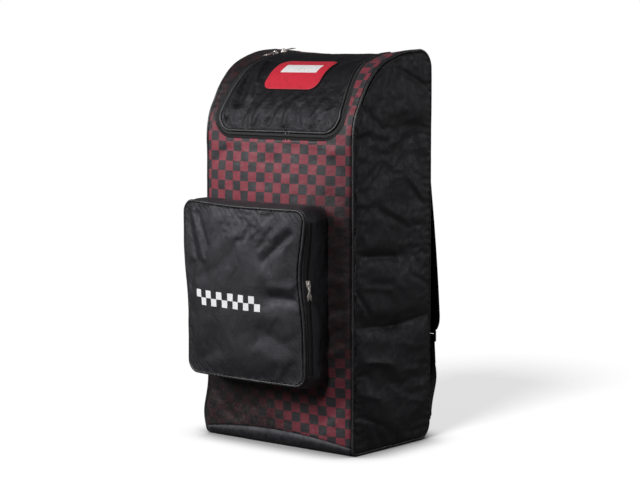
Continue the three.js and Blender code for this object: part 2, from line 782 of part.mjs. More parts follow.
// A point on the pocket's right wall, lifted off its cloth
function rightWall(up, out, lift) {
  return pocketPlace(POCKET_WIDTH / 2 + wallPuff(out) + lift, up, out);
}

function buildPocketZip() {
  const rise = POCKET_HEIGHT / 2 - POCKET_CORNER;
  const rings = spread(-rise, rise, POCKET_SIDE_STEPS).map((up) => [
    rightWall(up, TAPE_FRONT, GAP),
    rightWall(up, TAPE_FRONT, GAP + TAPE_THICK),
    rightWall(up, TAPE_FRONT - POCKET_TAPE, GAP + TAPE_THICK),
    rightWall(up, TAPE_FRONT - POCKET_TAPE, GAP),
  ]);
  addPiece('pocket_zip_tape', loft(rings, false), TAPE_CLOTH);
  const out = TAPE_FRONT - POCKET_TAPE / 2;
  const up = PULL_START;
  const lift = 4 * GAP + TAPE_THICK;
  const origin = rightWall(up, out, lift);
  const down = rightWall(up - SLIDER_LENGTH, out, lift).sub(origin).normalize();
  const forward = rightWall(up, TAPE_FRONT, lift).sub(origin).normalize();
  const outward = down.clone().cross(forward).negate().normalize();
  addZipPull('pocket_slider', 'pocket_pull', origin, down, outward);
}

// A zip slider's body in plan, wider where the two rows of teeth meet
function sliderBody() {
  const plan = new THREE.Shape([
    new THREE.Vector2(-SLIDER_WIDTH / 2, -SLIDER_LENGTH / 2 + SLIDER_NOSE),
    new THREE.Vector2(-SLIDER_WIDTH / 3, -SLIDER_LENGTH / 2),
    new THREE.Vector2(SLIDER_WIDTH / 3, -SLIDER_LENGTH / 2),
    new THREE.Vector2(SLIDER_WIDTH / 2, -SLIDER_LENGTH / 2 + SLIDER_NOSE),
    new THREE.Vector2(SLIDER_WIDTH / 3, SLIDER_LENGTH / 2),
    new THREE.Vector2(-SLIDER_WIDTH / 3, SLIDER_LENGTH / 2),
  ]);
  return new THREE.ExtrudeGeometry(plan, { depth: SLIDER_THICK, bevelEnabled: false });
}

// The low bridge on the slider that holds the pull
function sliderBridge() {
  const foot = BRIDGE_REACH + BRIDGE_BAR;
  const top = SLIDER_THICK + BRIDGE_ROOM + BRIDGE_BAR;
  const arch = new THREE.Shape([
    new THREE.Vector2(-foot, SLIDER_THICK / 2),
    new THREE.Vector2(-foot, top - BRIDGE_BAR),
    new THREE.Vector2(-foot + BRIDGE_BAR, top),
    new THREE.Vector2(foot - BRIDGE_BAR, top),
    new THREE.Vector2(foot, top - BRIDGE_BAR),
    new THREE.Vector2(foot, SLIDER_THICK / 2),
    new THREE.Vector2(BRIDGE_REACH, SLIDER_THICK / 2),
    new THREE.Vector2(BRIDGE_REACH, top - BRIDGE_BAR),
    new THREE.Vector2(-BRIDGE_REACH, top - BRIDGE_BAR),
    new THREE.Vector2(-BRIDGE_REACH, SLIDER_THICK / 2),
  ]);
  const bridge = new THREE.ExtrudeGeometry(arch, { depth: BRIDGE_WIDTH, bevelEnabled: false });
  bridge.applyMatrix4(new THREE.Matrix4().makeBasis(
    new THREE.Vector3(0, 1, 0),
    new THREE.Vector3(0, 0, 1),
    new THREE.Vector3(1, 0, 0),
  ));
  return bridge.translate(-BRIDGE_WIDTH / 2, 0, 0);
}

function sliderGeometry() {
  const solids = [sliderBody(), sliderBridge()].map((geometry) => toManifold(bareShape(geometry)));
  return fromManifold(solids[0].add(solids[1]));
}

// A flat pull: a ring at its top, a waist, and a forked foot
function pullGeometry() {
  const ring = PULL_RING + PULL_BAR;
  const half = PULL_WIDTH / 2;
  const outline = [
    ...spread(0.78 * Math.PI, 2.22 * Math.PI, PULL_RING_STEPS).map((angle) => new THREE.Vector2(
      ring * Math.cos(angle),
      PULL_RING + PULL_BAR / 2 + ring * Math.sin(angle),
    )),
    new THREE.Vector2(half * 0.45, PULL_LENGTH * 0.45),
    new THREE.Vector2(half, PULL_LENGTH * 0.62),
    new THREE.Vector2(half, PULL_LENGTH - ring),
    new THREE.Vector2(half * 0.5, PULL_LENGTH - ring),
    new THREE.Vector2(half * 0.35, PULL_LENGTH * 0.78),
    new THREE.Vector2(-half * 0.35, PULL_LENGTH * 0.78),
    new THREE.Vector2(-half * 0.5, PULL_LENGTH - ring),
    new THREE.Vector2(-half, PULL_LENGTH - ring),
    new THREE.Vector2(-half, PULL_LENGTH * 0.62),
    new THREE.Vector2(-half * 0.45, PULL_LENGTH * 0.45),
  ];
  const shape = new THREE.Shape(outline);
  const hole = new THREE.Path();
  hole.absarc(0, PULL_RING + PULL_BAR / 2, PULL_RING, 0, 2 * Math.PI, true);
  shape.holes.push(hole);
  const pull = new THREE.ExtrudeGeometry(shape, {
    depth: PULL_THICK,
    bevelEnabled: false,
    curveSegments: PULL_HOLE_STEPS,
  });
  return pull.translate(0, 0, SLIDER_THICK + (BRIDGE_ROOM - PULL_THICK) / 2);
}

// Keeps only positions and merges shared points
function bareShape(geometry) {
  geometry.deleteAttribute('normal');
  geometry.deleteAttribute('uv');
  return mergeVertices(geometry, WELD);
}

// Slider and pull at a point of a zip, with the pull lying along one direction
function addZipPull(sliderName, pullName, origin, along, outward) {
  const across = along.clone().cross(outward).normalize();
  const level = outward.clone().cross(across).normalize();
  const frame = new THREE.Matrix4().makeBasis(across, level, outward).setPosition(origin);
  addPiece(sliderName, sliderGeometry(), NICKEL).applyMatrix4(frame);
  addPiece(pullName, bareShape(pullGeometry()), NICKEL).applyMatrix4(frame);
}

function buildLidZipPulls() {
  for (const { name, share, forward } of LID_SLIDERS) {
    const run = mix(LID_FRONT, LID_BACK, share);
    const x = -(lidHalf(run) - GAP - LID_TAPE / 2);
    const origin = place(x, run, 2 * GAP);
    const outward = outwardAt(x, run);
    const along = place(x, run - forward * SLIDER_LENGTH, 2 * GAP).sub(origin).normalize();
    addZipPull(`lid_slider_${name}`, `lid_pull_${name}`, origin, along, outward);
  }
}

// The middle line of a shoulder strap, from its sewn top to the adjuster
function strapLine(side) {
  const x = side * STRAP_OFFSET;
  const innerEdge = side * (STRAP_OFFSET - STRAP_WIDTH / 2);
  const leaveHeight = mix(STRAP_TOP, STRAP_LOW, STRAP_ROWS[1].fall);
  const seatRun = BACK_HIGH + HEIGHT - TOP_BACK_RADIUS - leaveHeight;
  const seat = place(innerEdge, seatRun, 0).y + 2 * GAP + STRAP_THICK / 2;
  return new THREE.CatmullRomCurve3(STRAP_ROWS.map((row) => new THREE.Vector3(
    x,
    seat + STRAP_DEPTH * row.stand,
    mix(STRAP_TOP, STRAP_LOW, row.fall),
  )), false, 'centripetal');
}

// Rings of a flat band along points, each with the direction of its width
function bandRings(points, widths, width, thick, round) {
  return points.map((point, i) => {
    const before = points[Math.max(0, i - 1)];
    const after = points[Math.min(points.length - 1, i + 1)];
    const along = after.clone().sub(before).normalize();
    const up = along.clone().cross(widths[i]).normalize();
    const wide = up.clone().cross(along).normalize();
    const half = width / 2;
    const flat = [[-half + round, -thick / 2], [half - round, -thick / 2]];
    const low = round > 0 ? [[-half, -thick / 4], ...flat, [half, -thick / 4]] : flat;
    const high = low.map(([a, b]) => [a, -b]).reverse();
    const ring = [...low, ...high];
    return ring.map(([a, b]) => point.clone().addScaledVector(wide, a).addScaledVector(up, b));
  });
}

function buildStrap(side, name) {
  const points = strapLine(side).getSpacedPoints(STRAP_STEPS);
  const widths = points.map(() => new THREE.Vector3(1, 0, 0));
  const rings = bandRings(points, widths, STRAP_WIDTH, STRAP_THICK, STRAP_ROUND);
  addPiece(`shoulder_strap_${name}`, loft(rings, false), BLACK_CLOTH);
}

// The adjuster: a flat frame of three bars with a slot between each two
function buildBuckle(side, name) {
  const half = BUCKLE_WIDTH / 2;
  const slot = half - BUCKLE_BAR;
  const inner = half - BUCKLE_CORNER;
  const frame = new THREE.Shape([
    new THREE.Vector2(-inner, 0),
    new THREE.Vector2(-half, -BUCKLE_CORNER),
    new THREE.Vector2(-half, -BUCKLE_LENGTH + BUCKLE_CORNER),
    new THREE.Vector2(-inner, -BUCKLE_LENGTH),
    new THREE.Vector2(inner, -BUCKLE_LENGTH),
    new THREE.Vector2(half, -BUCKLE_LENGTH + BUCKLE_CORNER),
    new THREE.Vector2(half, -BUCKLE_CORNER),
    new THREE.Vector2(inner, 0),
  ]);
  for (const middle of [-BUCKLE_SLOT_HIGH, -BUCKLE_SLOT_LOW]) {
    frame.holes.push(new THREE.Path([
      new THREE.Vector2(-slot, middle - BUCKLE_SLOT / 2),
      new THREE.Vector2(slot, middle - BUCKLE_SLOT / 2),
      new THREE.Vector2(slot, middle + BUCKLE_SLOT / 2),
      new THREE.Vector2(-slot, middle + BUCKLE_SLOT / 2),
    ]));
  }
  const plate = new THREE.ExtrudeGeometry(frame, { depth: BUCKLE_THICK, bevelEnabled: false });
  plate.translate(0, 0, -BUCKLE_THICK / 2);
  const mesh = addPiece(`strap_buckle_${name}`, bareShape(plate), PLASTIC);
  const end = strapLine(side).getPoint(1);
  mesh.rotation.x = Math.PI / 2;
  mesh.position.set(end.x, end.y, end.z - GAP);
}

// The webbing: out of the base corner, up through the adjuster, round its middle bar and down again
function buildWebbing(side, name) {
  const end = strapLine(side).getPoint(1);
  const barHeight = end.z - GAP - (BUCKLE_SLOT_HIGH + BUCKLE_SLOT_LOW) / 2;
  const bar = new THREE.Vector3(end.x, end.y, barHeight);
  const root = new THREE.Vector3(
    side * (TAB_PLACE - TAB_THICK / 2 - GAP - WEBBING_THICK / 2),
    DEPTH / 2 + WEBBING_WIDTH / 2 + WEBBING_ROOT,
    TAB_MIDDLE,
  );
  const rise = bar.clone().sub(root);
  const lift = new THREE.Vector3(0, rise.y, rise.z).normalize();
  const rootWidth = new THREE.Vector3(0, -lift.z, lift.y);
  const climb = new THREE.CatmullRomCurve3([
    root,
    root.clone().addScaledVector(lift, TAB_LENGTH).add(new THREE.Vector3(-side * WEBBING_BOW_LOW, 0, 0)),
    root.clone().lerp(bar, 0.5).add(new THREE.Vector3(side * WEBBING_BOW_HIGH, WEBBING_BOW_BACK, 0)),
    new THREE.Vector3(bar.x, bar.y - WEBBING_TURN, bar.z - BUCKLE_LENGTH),
    new THREE.Vector3(bar.x, bar.y - WEBBING_TURN, bar.z),
  ], false, 'centripetal').getSpacedPoints(WEBBING_STEPS);
  const turn = spread(Math.PI, 0, WEBBING_TURN_STEPS).slice(1).map((angle) => new THREE.Vector3(
    bar.x,
    bar.y + WEBBING_TURN * Math.cos(angle),
    bar.z + WEBBING_TURN * Math.sin(angle),
  ));
  const tail = spread(0, WEBBING_TAIL, 2).slice(1).map((drop) => new THREE.Vector3(
    bar.x,
    bar.y + WEBBING_TURN + drop * WEBBING_TAIL_LEAN,
    bar.z - drop,
  ));
  const points = [...climb, ...turn, ...tail];
  const across = new THREE.Vector3(-1, 0, 0);
  const widths = points.map((_, i) => {
    const twist = smooth((i - WEBBING_TWIST_START) / WEBBING_TWIST_STEPS);
    return rootWidth.clone().lerp(across, twist);
  });
  const rings = bandRings(points, widths, WEBBING_WIDTH, WEBBING_THICK, 0);
  addPiece(`strap_webbing_${name}`, loft(rings, false), TAPE_CLOTH);
}

// The tab that holds the webbing: sewn into the corner of back and base, pointed behind
function buildTab(side, name) {
  const x = TAB_PLACE;
  const turn = Math.asin(1 - TAB_LOW / BASE_BACK_RADIUS);
  const lowRuns = spread(BACK_LOW + BASE_BACK_RADIUS * turn, BACK_LOW, TAB_STEPS);
  const runs = [...lowRuns, BACK_LOW - (TAB_HIGH - BASE_BACK_RADIUS)];
  const root = runs.map((run) => place(side * x, run, 2 * GAP));
  const plan = new THREE.Shape([
    ...root.map((point) => new THREE.Vector2(point.y, point.z)),
    new THREE.Vector2(DEPTH / 2 + TAB_LENGTH, TAB_MIDDLE + TAB_TIP_RISE + TAB_TIP / 2),
    new THREE.Vector2(DEPTH / 2 + TAB_LENGTH, TAB_MIDDLE + TAB_TIP_RISE - TAB_TIP / 2),
  ]);
  const tab = new THREE.ExtrudeGeometry(plan, { depth: TAB_THICK, bevelEnabled: false });
  tab.applyMatrix4(new THREE.Matrix4().makeBasis(
    new THREE.Vector3(0, 1, 0),
    new THREE.Vector3(0, 0, 1),
    new THREE.Vector3(1, 0, 0),
  ));
  tab.translate(side * x - TAB_THICK / 2, 0, 0);
  addPiece(`strap_tab_${name}`, bareShape(tab), BLACK_CLOTH);
}

buildMainPanels();
buildLid();
buildPatch();
buildLidZipPulls();
buildPocket();
buildPocketZip();
for (const { name, side } of SIDES) {
  buildSidePanel(side, name);
  buildSidePiping(side, name);
  buildStrap(side, name);
  buildBuckle(side, name);
  buildWebbing(side, name);
  buildTab(side, name);
}

export default kitBag;
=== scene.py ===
"""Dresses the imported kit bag: sewn cloth, corded seams, zips, straps, floor, lights and camera.

Lengths are metres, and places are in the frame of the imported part: X to the right of someone who
faces the front, the front towards -Y, +Z up and the floor at zero. A "run" is a length along the
bag's outline seen from the side, from the middle of the base forwards, up the front and over the top.
"""

import json
import logging
import math
from collections.abc import Callable, Sequence
from dataclasses import dataclass, field
from enum import Enum

import bpy
import numpy as np
from mathutils import Euler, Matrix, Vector

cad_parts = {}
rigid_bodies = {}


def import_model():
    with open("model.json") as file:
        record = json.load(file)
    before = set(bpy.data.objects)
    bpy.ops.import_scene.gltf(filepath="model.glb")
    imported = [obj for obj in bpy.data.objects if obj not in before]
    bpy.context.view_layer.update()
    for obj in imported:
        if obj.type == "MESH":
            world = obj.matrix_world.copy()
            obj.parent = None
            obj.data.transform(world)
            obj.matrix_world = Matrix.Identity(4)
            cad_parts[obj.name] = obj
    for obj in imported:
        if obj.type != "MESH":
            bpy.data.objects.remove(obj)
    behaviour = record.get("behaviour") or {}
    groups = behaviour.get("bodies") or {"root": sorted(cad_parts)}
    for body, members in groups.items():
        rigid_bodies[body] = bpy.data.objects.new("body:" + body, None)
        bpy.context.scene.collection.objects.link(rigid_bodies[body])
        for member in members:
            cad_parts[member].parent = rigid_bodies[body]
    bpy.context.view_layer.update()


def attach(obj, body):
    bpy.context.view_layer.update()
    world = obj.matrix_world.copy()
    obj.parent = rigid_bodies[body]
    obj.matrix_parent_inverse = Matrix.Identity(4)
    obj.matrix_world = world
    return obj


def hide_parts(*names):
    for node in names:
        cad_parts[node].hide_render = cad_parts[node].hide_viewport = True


LOG = logging.getLogger("kit_bag")
BODY = "root"
CLOTH_UV = "cloth"
SEAM_MARK = "seam"
WELD = 1e-6

Array = np.ndarray
Socket = bpy.types.NodeSocket


# Sides and choices


class Side(Enum):
    """The two sides of the bag, each with its sign along X."""

    LEFT = -1
    RIGHT = 1

    @property
    def label(self) -> str:
        """The side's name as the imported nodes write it."""
        return self.name.lower()


class Ends(Enum):
    """How a tube or band ends."""

    CAPPED = "capped"
    JOINED = "joined"


# Plain maths on arrays


def clamp01(value: Array) -> Array:
    """Values held between 0 and 1."""
    return np.clip(value, 0.0, 1.0)


def smooth(value: Array) -> Array:
    """An even ease from 0 to 1."""
    share = clamp01(value)
    return share * share * (3.0 - 2.0 * share)


def mix(low: Array, high: Array, share: Array) -> Array:
    """The value a share of the way from low to high."""
    return low + (high - low) * share


def unit(vectors: Array) -> Array:
    """Vectors brought to length one along the last axis."""
    return vectors / np.maximum(np.linalg.norm(vectors, axis=-1, keepdims=True), 1e-12)


def eased_rows(rows: Sequence[tuple[float, float]], at: Array) -> Array:
    """Reads a table of place and value pairs, eased between its rows.

    Args:
        rows: pairs of place and value, in rising order of place.
        at: the places to read.

    Returns:
        The value at each place.
    """
    places = np.array([row[0] for row in rows])
    values = np.array([row[1] for row in rows])
    at = np.asarray(at, dtype=float)
    high = np.clip(np.searchsorted(places, at), 1, len(places) - 1)
    share = smooth((at - places[high - 1]) / (places[high] - places[high - 1]))
    return mix(values[high - 1], values[high], share)


@dataclass(frozen=True)
class Fold:
    """A soft ridge or groove between two points of a flat plan."""

    start: tuple[float, float]
    end: tuple[float, float]
    width: float
    rise: float

    def at(self, a: Array, b: Array) -> Array:
        """Height of the fold over points of the plan.

        Args:
            a: first coordinate of each point.
            b: second coordinate of each point.

        Returns:
            The rise at each point.
        """
        run_a = self.end[0] - self.start[0]
        run_b = self.end[1] - self.start[1]
        along = (a - self.start[0]) * run_a + (b - self.start[1]) * run_b
        share = clamp01(along / (run_a * run_a + run_b * run_b))
        off_a = a - self.start[0] - share * run_a
        off_b = b - self.start[1] - share * run_b
        return self.rise * np.exp(-(off_a**2 + off_b**2) / self.width**2)

    def scaled(self, across: float, up: float, width: float, rise: float) -> "Fold":
        """The same fold from shares to lengths, with its plan centred on the middle.

        Args:
            across: length of the plan's first side.
            up: length of the plan's second side.
            width: length that the fold's width is a share of.
            rise: length that its rise is a share of.

        Returns:
            A fold in metres.
        """
        return Fold(
            ((self.start[0] - 0.5) * across, (self.start[1] - 0.5) * up),
            ((self.end[0] - 0.5) * across, (self.end[1] - 0.5) * up),
            self.width * width,
            self.rise * rise,
        )


def folded(folds: Sequence[Fold], a: Array, b: Array) -> Array:
    """The summed height of several folds at points of a plan."""
    return sum(fold.at(a, b) for fold in folds)


class ClothNoise:
    """Seeded smooth noise over a flat cloth, for unevenness that no pattern repeats."""

    size = 64

    def __init__(self, seed: int) -> None:
        """Draws the lattice of heights."""
        self.lattice = np.random.default_rng(seed).uniform(-1.0, 1.0, (self.size, self.size))

    def at(self, a: Array, b: Array) -> Array:
        """Noise from -1 to 1 with a grain of one unit.

        Args:
            a: first coordinate.
            b: second coordinate.

        Returns:
            The noise at each point.
        """
        low_a = np.floor(a).astype(int)
        low_b = np.floor(b).astype(int)
        share_a = smooth(a - low_a)
        share_b = smooth(b - low_b)
        i, j = low_a % self.size, low_b % self.size
        k, m = (low_a + 1) % self.size, (low_b + 1) % self.size
        near = mix(self.lattice[i, j], self.lattice[k, j], share_a)
        far = mix(self.lattice[i, m], self.lattice[k, m], share_a)
        return mix(near, far, share_b)

    def layered(self, a: Array, b: Array, layers: int = 3) -> Array:
        """Noise with finer and fainter layers on top."""
        return sum(self.at(a * 2.03**n + 7.3 * n, b * 2.03**n - 3.1 * n) / 1.9**n for n in range(layers))

    def creased(self, a: Array, b: Array, layers: int = 3) -> Array:
        """Noise with sharp crests, as on crumpled cloth, from about -1 to 1."""
        total = 0.0
        for n in range(layers):
            wave = self.at(a * 1.93**n + 5.7 * n, b * 1.93**n + 2.9 * n)
            total = total + (1.0 - 3.2 * np.abs(wave)) / 1.8**n
        return total / 1.8


# Mesh helpers


def make_object(
    name: str,
    points: Array,
    faces: Sequence[Sequence[int]] | Array,
    cloth_uv: Array | None = None,
    seam: Array | None = None,
) -> bpy.types.Object:
    """Makes a smooth-shaded mesh object in the scene.

    Args:
        name: the piece's name.
        points: places of the vertices.
        faces: vertex numbers of each face, outer side to the front.
        cloth_uv: place of each vertex on the flat cloth, in metres.
        seam: how close each vertex is to a seam, 1 on it.

    Returns:
        The new object.
    """
    mesh = bpy.data.meshes.new(name)
    corner_lists = faces.tolist() if isinstance(faces, Array) else list(faces)
    mesh.from_pydata(np.asarray(points, dtype=float).tolist(), [], corner_lists)
    if cloth_uv is not None:
        corners = np.empty(len(mesh.loops), dtype=np.int32)
        mesh.loops.foreach_get("vertex_index", corners)
        layer = mesh.uv_layers.new(name=CLOTH_UV)
        layer.data.foreach_set("uv", np.asarray(cloth_uv, dtype=np.float32)[corners].ravel())
    if seam is not None:
        mark = mesh.attributes.new(SEAM_MARK, "FLOAT", "POINT")
        mark.data.foreach_set("value", np.asarray(seam, dtype=np.float32).ravel())
    mesh.polygons.foreach_set("use_smooth", np.ones(len(mesh.polygons), dtype=bool))
    mesh.update()
    obj = bpy.data.objects.new(name, mesh)
    bpy.context.scene.collection.objects.link(obj)
    return obj


def grid_faces(rows: int, columns: int, ring: bool = False, loop: bool = False) -> Array:
    """Faces of a grid whose vertices are numbered row by row.

    Args:
        rows: rows of vertices.
        columns: vertices in a row.
        ring: joins the last column to the first.
        loop: joins the last row to the first.

    Returns:
        Four vertex numbers a face.
    """
    down = np.arange(rows if loop else rows - 1)
    across = np.arange(columns if ring else columns - 1)
    i, j = np.meshgrid(down, across, indexing="ij")
    below = (i + 1) % rows
    right = (j + 1) % columns
    quad = np.stack([i * columns + j, i * columns + right, below * columns + right, below * columns + j], -1)
    return quad.reshape(-1, 4)


def thicken(obj: bpy.types.Object, thickness: float) -> None:
    """Gives cloth its thickness towards the inside of the bag."""
    solid = obj.modifiers.new("thickness", "SOLIDIFY")
    solid.thickness = thickness
    solid.offset = -1.0
    solid.use_quality_normals = True
    apply_modifiers(obj)


def apply_modifiers(obj: bpy.types.Object) -> None:
    """Replaces the mesh by what its modifiers make of it."""
    graph = bpy.context.evaluated_depsgraph_get()
    final = obj.evaluated_get(graph)
    made = bpy.data.meshes.new_from_object(final, preserve_all_data_layers=True, depsgraph=graph)
    obj.modifiers.clear()
    old = obj.data
    obj.data = made
    made.name = obj.name
    bpy.data.meshes.remove(old)


def read_points(obj: bpy.types.Object) -> Array:
    """Places of a mesh's vertices, one row each."""
    flat = np.empty(len(obj.data.vertices) * 3)
    obj.data.vertices.foreach_get("co", flat)
    return flat.reshape(-1, 3)


def write_points(obj: bpy.types.Object, points: Array) -> None:
    """Moves a mesh's vertices to new places."""
    obj.data.vertices.foreach_set("co", points.ravel())
    obj.data.update()


def buckle(
    obj: bpy.types.Object,
    held: Array,
    growth: float,
    pressure: float,
    frames: int,
    limit: float,
) -> None:
    """Lets cloth that is cut a little too large crumple between its held edges.

    Args:
        obj: a cloth without thickness.
        held: numbers of the vertices that stay.
        growth: share by which the cloth is larger than its place.
        pressure: push from inside.
        frames: steps of the simulation.
        limit: furthest that a vertex may move, in metres.
    """
    before = read_points(obj)
    group = obj.vertex_groups.new(name="held")
    group.add(held.tolist(), 1.0, "REPLACE")
    cloth = obj.modifiers.new("crumple", "CLOTH")
    cloth.settings.quality = 4
    cloth.settings.mass = 0.15
    cloth.settings.tension_stiffness = 12.0
    cloth.settings.compression_stiffness = 12.0
    cloth.settings.shear_stiffness = 6.0
    cloth.settings.bending_stiffness = 0.35
    cloth.settings.air_damping = 2.0
    cloth.settings.shrink_min = -growth
    cloth.settings.use_pressure = pressure != 0.0
    cloth.settings.uniform_pressure_force = pressure
    cloth.settings.vertex_group_mass = "held"
    cloth.settings.effector_weights.gravity = 0.0
    cloth.collision_settings.use_collision = False
    cloth.collision_settings.use_self_collision = False
    cloth.point_cache.frame_start = 1
    cloth.point_cache.frame_end = frames
    scene = bpy.context.scene
    for frame in range(1, frames + 1):
        scene.frame_set(frame)
    graph = bpy.context.evaluated_depsgraph_get()
    settled = obj.evaluated_get(graph)
    flat = np.empty(len(settled.data.vertices) * 3)
    settled.data.vertices.foreach_get("co", flat)
    move = flat.reshape(-1, 3) - before
    far = np.linalg.norm(move, axis=1, keepdims=True)
    move *= limit * np.tanh(far / limit) / np.maximum(far, WELD)
    obj.modifiers.clear()
    obj.vertex_groups.clear()
    scene.frame_set(1)
    write_points(obj, before + move)


def grid_border(rows: int, columns: int) -> Array:
    """Numbers of the outermost vertices of a grid."""
    numbers = np.arange(rows * columns).reshape(rows, columns)
    return np.unique(np.concatenate([numbers[0], numbers[-1], numbers[:, 0], numbers[:, -1]]))


def even_path(points: Array, step: float, closed: bool = False) -> Array:
    """Points a set distance apart along a line.

    Args:
        points: the line's own points.
        step: distance wanted between points.
        closed: whether the line comes round to its start.

    Returns:
        Evenly spaced points.
    """
    line = np.vstack([points, points[:1]]) if closed else points
    lengths = np.concatenate([[0.0], np.cumsum(np.linalg.norm(np.diff(line, axis=0), axis=1))])
    count = max(2, int(round(lengths[-1] / step)))
    at = np.linspace(0.0, lengths[-1], count + 1)
    spaced = np.stack([np.interp(at, lengths, line[:, i]) for i in range(line.shape[1])], -1)
    return spaced[:-1] if closed else spaced


def path_frames(points: Array, outward: Array, closed: bool) -> tuple[Array, Array, Array]:
    """Directions along, across and out of a line at each of its points.

    Args:
        points: the line.
        outward: rough outward direction at each point.
        closed: whether the line comes round to its start.

    Returns:
        Unit vectors along, across and outward.
    """
    if closed:
        along = np.roll(points, -1, axis=0) - np.roll(points, 1, axis=0)
    else:
        along = np.gradient(points, axis=0)
    along = unit(along)
    across = unit(np.cross(along, outward))
    return along, across, np.cross(across, along)


def sweep(
    name: str,
    points: Array,
    outward: Array,
    section: Array,
    ends: Ends,
) -> bpy.types.Object:
    """A band or tube of one section along a line.

    Args:
        name: the piece's name.
        points: the line.
        outward: outward direction at each point.
        section: points of the section as across and out, or one such section for each point.
        ends: how it ends.

    Returns:
        The new object, with its UVs in metres round and along.
    """
    closed = ends is Ends.JOINED
    _, across, out = path_frames(points, outward, closed)
    shape = np.broadcast_to(section, (len(points), *section.shape[-2:]))
    rings = points[:, None] + across[:, None] * shape[..., :1] + out[:, None] * shape[..., 1:]
    count = rings.shape[1]
    faces = grid_faces(len(points), count, ring=True, loop=closed)[:, ::-1].tolist()
    if ends is Ends.CAPPED:
        last = (len(points) - 1) * count
        faces.append(list(range(count)))
        faces.append([last + i for i in reversed(range(count))])
    steps = np.concatenate([[0.0], np.cumsum(np.linalg.norm(np.diff(points, axis=0), axis=1))])
    round_steps = np.linalg.norm(np.diff(shape[0], axis=0), axis=1)
    around = np.concatenate([[0.0], np.cumsum(round_steps)])
    uv = np.stack(np.broadcast_arrays(around[None, :], steps[:, None]), -1).reshape(-1, 2)
    obj = make_object(name, rings.reshape(-1, 3), faces, uv)
    return face_outwards(obj)


def face_outwards(obj: bpy.types.Object) -> bpy.types.Object:
    """Turns the faces of a closed body round if they point into it."""
    mesh = obj.data
    mesh.calc_loop_triangles()
    corners = np.empty(len(mesh.loop_triangles) * 3, dtype=np.int32)
    mesh.loop_triangles.foreach_get("vertices", corners)
    tri = read_points(obj)[corners.reshape(-1, 3)]
    if np.einsum("ij,ij->i", tri[:, 0], np.cross(tri[:, 1], tri[:, 2])).sum() < 0.0:
        mesh.flip_normals()
    return obj


def round_section(radius: float, count: int) -> Array:
    """A circle as across and out pairs."""
    turn = np.linspace(0.0, 2.0 * math.pi, count, endpoint=False)
    return radius * np.stack([np.cos(turn), np.sin(turn)], -1)


def small_blocks(
    name: str,
    middles: Array,
    along: Array,
    across: Array,
    out: Array,
    size: tuple[float, float, float],
) -> bpy.types.Object:
    """Many small cushion-shaped blocks as one piece, for stitches and zip teeth.

    Args:
        name: the piece's name.
        middles: middle of each block's underside.
        along: direction of each block's length.
        across: direction of its width.
        out: direction of its height.
        size: length, width and height.

    Returns:
        One object with all the blocks.
    """
    length, width, height = size
    plan = [(-1.0, 0.0), (-0.55, -1.0), (0.55, -1.0), (1.0, 0.0), (0.55, 1.0), (-0.55, 1.0)]
    low = [(a, b, 0.0) for a, b in plan]
    high = [(a * 0.62, b * 0.5, 1.0) for a, b in plan]
    corners = np.array(low + high) * np.array([length / 2, width / 2, height])
    axes = np.stack([along, across, out], 1)
    points = middles[:, None] + np.einsum("ck,nkd->ncd", corners, axes)
    sides = [[i, (i + 1) % 6, 6 + (i + 1) % 6, 6 + i] for i in range(6)]
    bases = (np.arange(len(middles)) * len(corners))[:, None]
    faces: list[list[int]] = []
    for side in sides:
        faces.extend((bases + np.array(side)).tolist())
    faces.extend((bases + np.arange(6, 12)).tolist())
    faces.extend((bases + np.arange(5, -1, -1)).tolist())
    return face_outwards(make_object(name, points.reshape(-1, 3), faces))


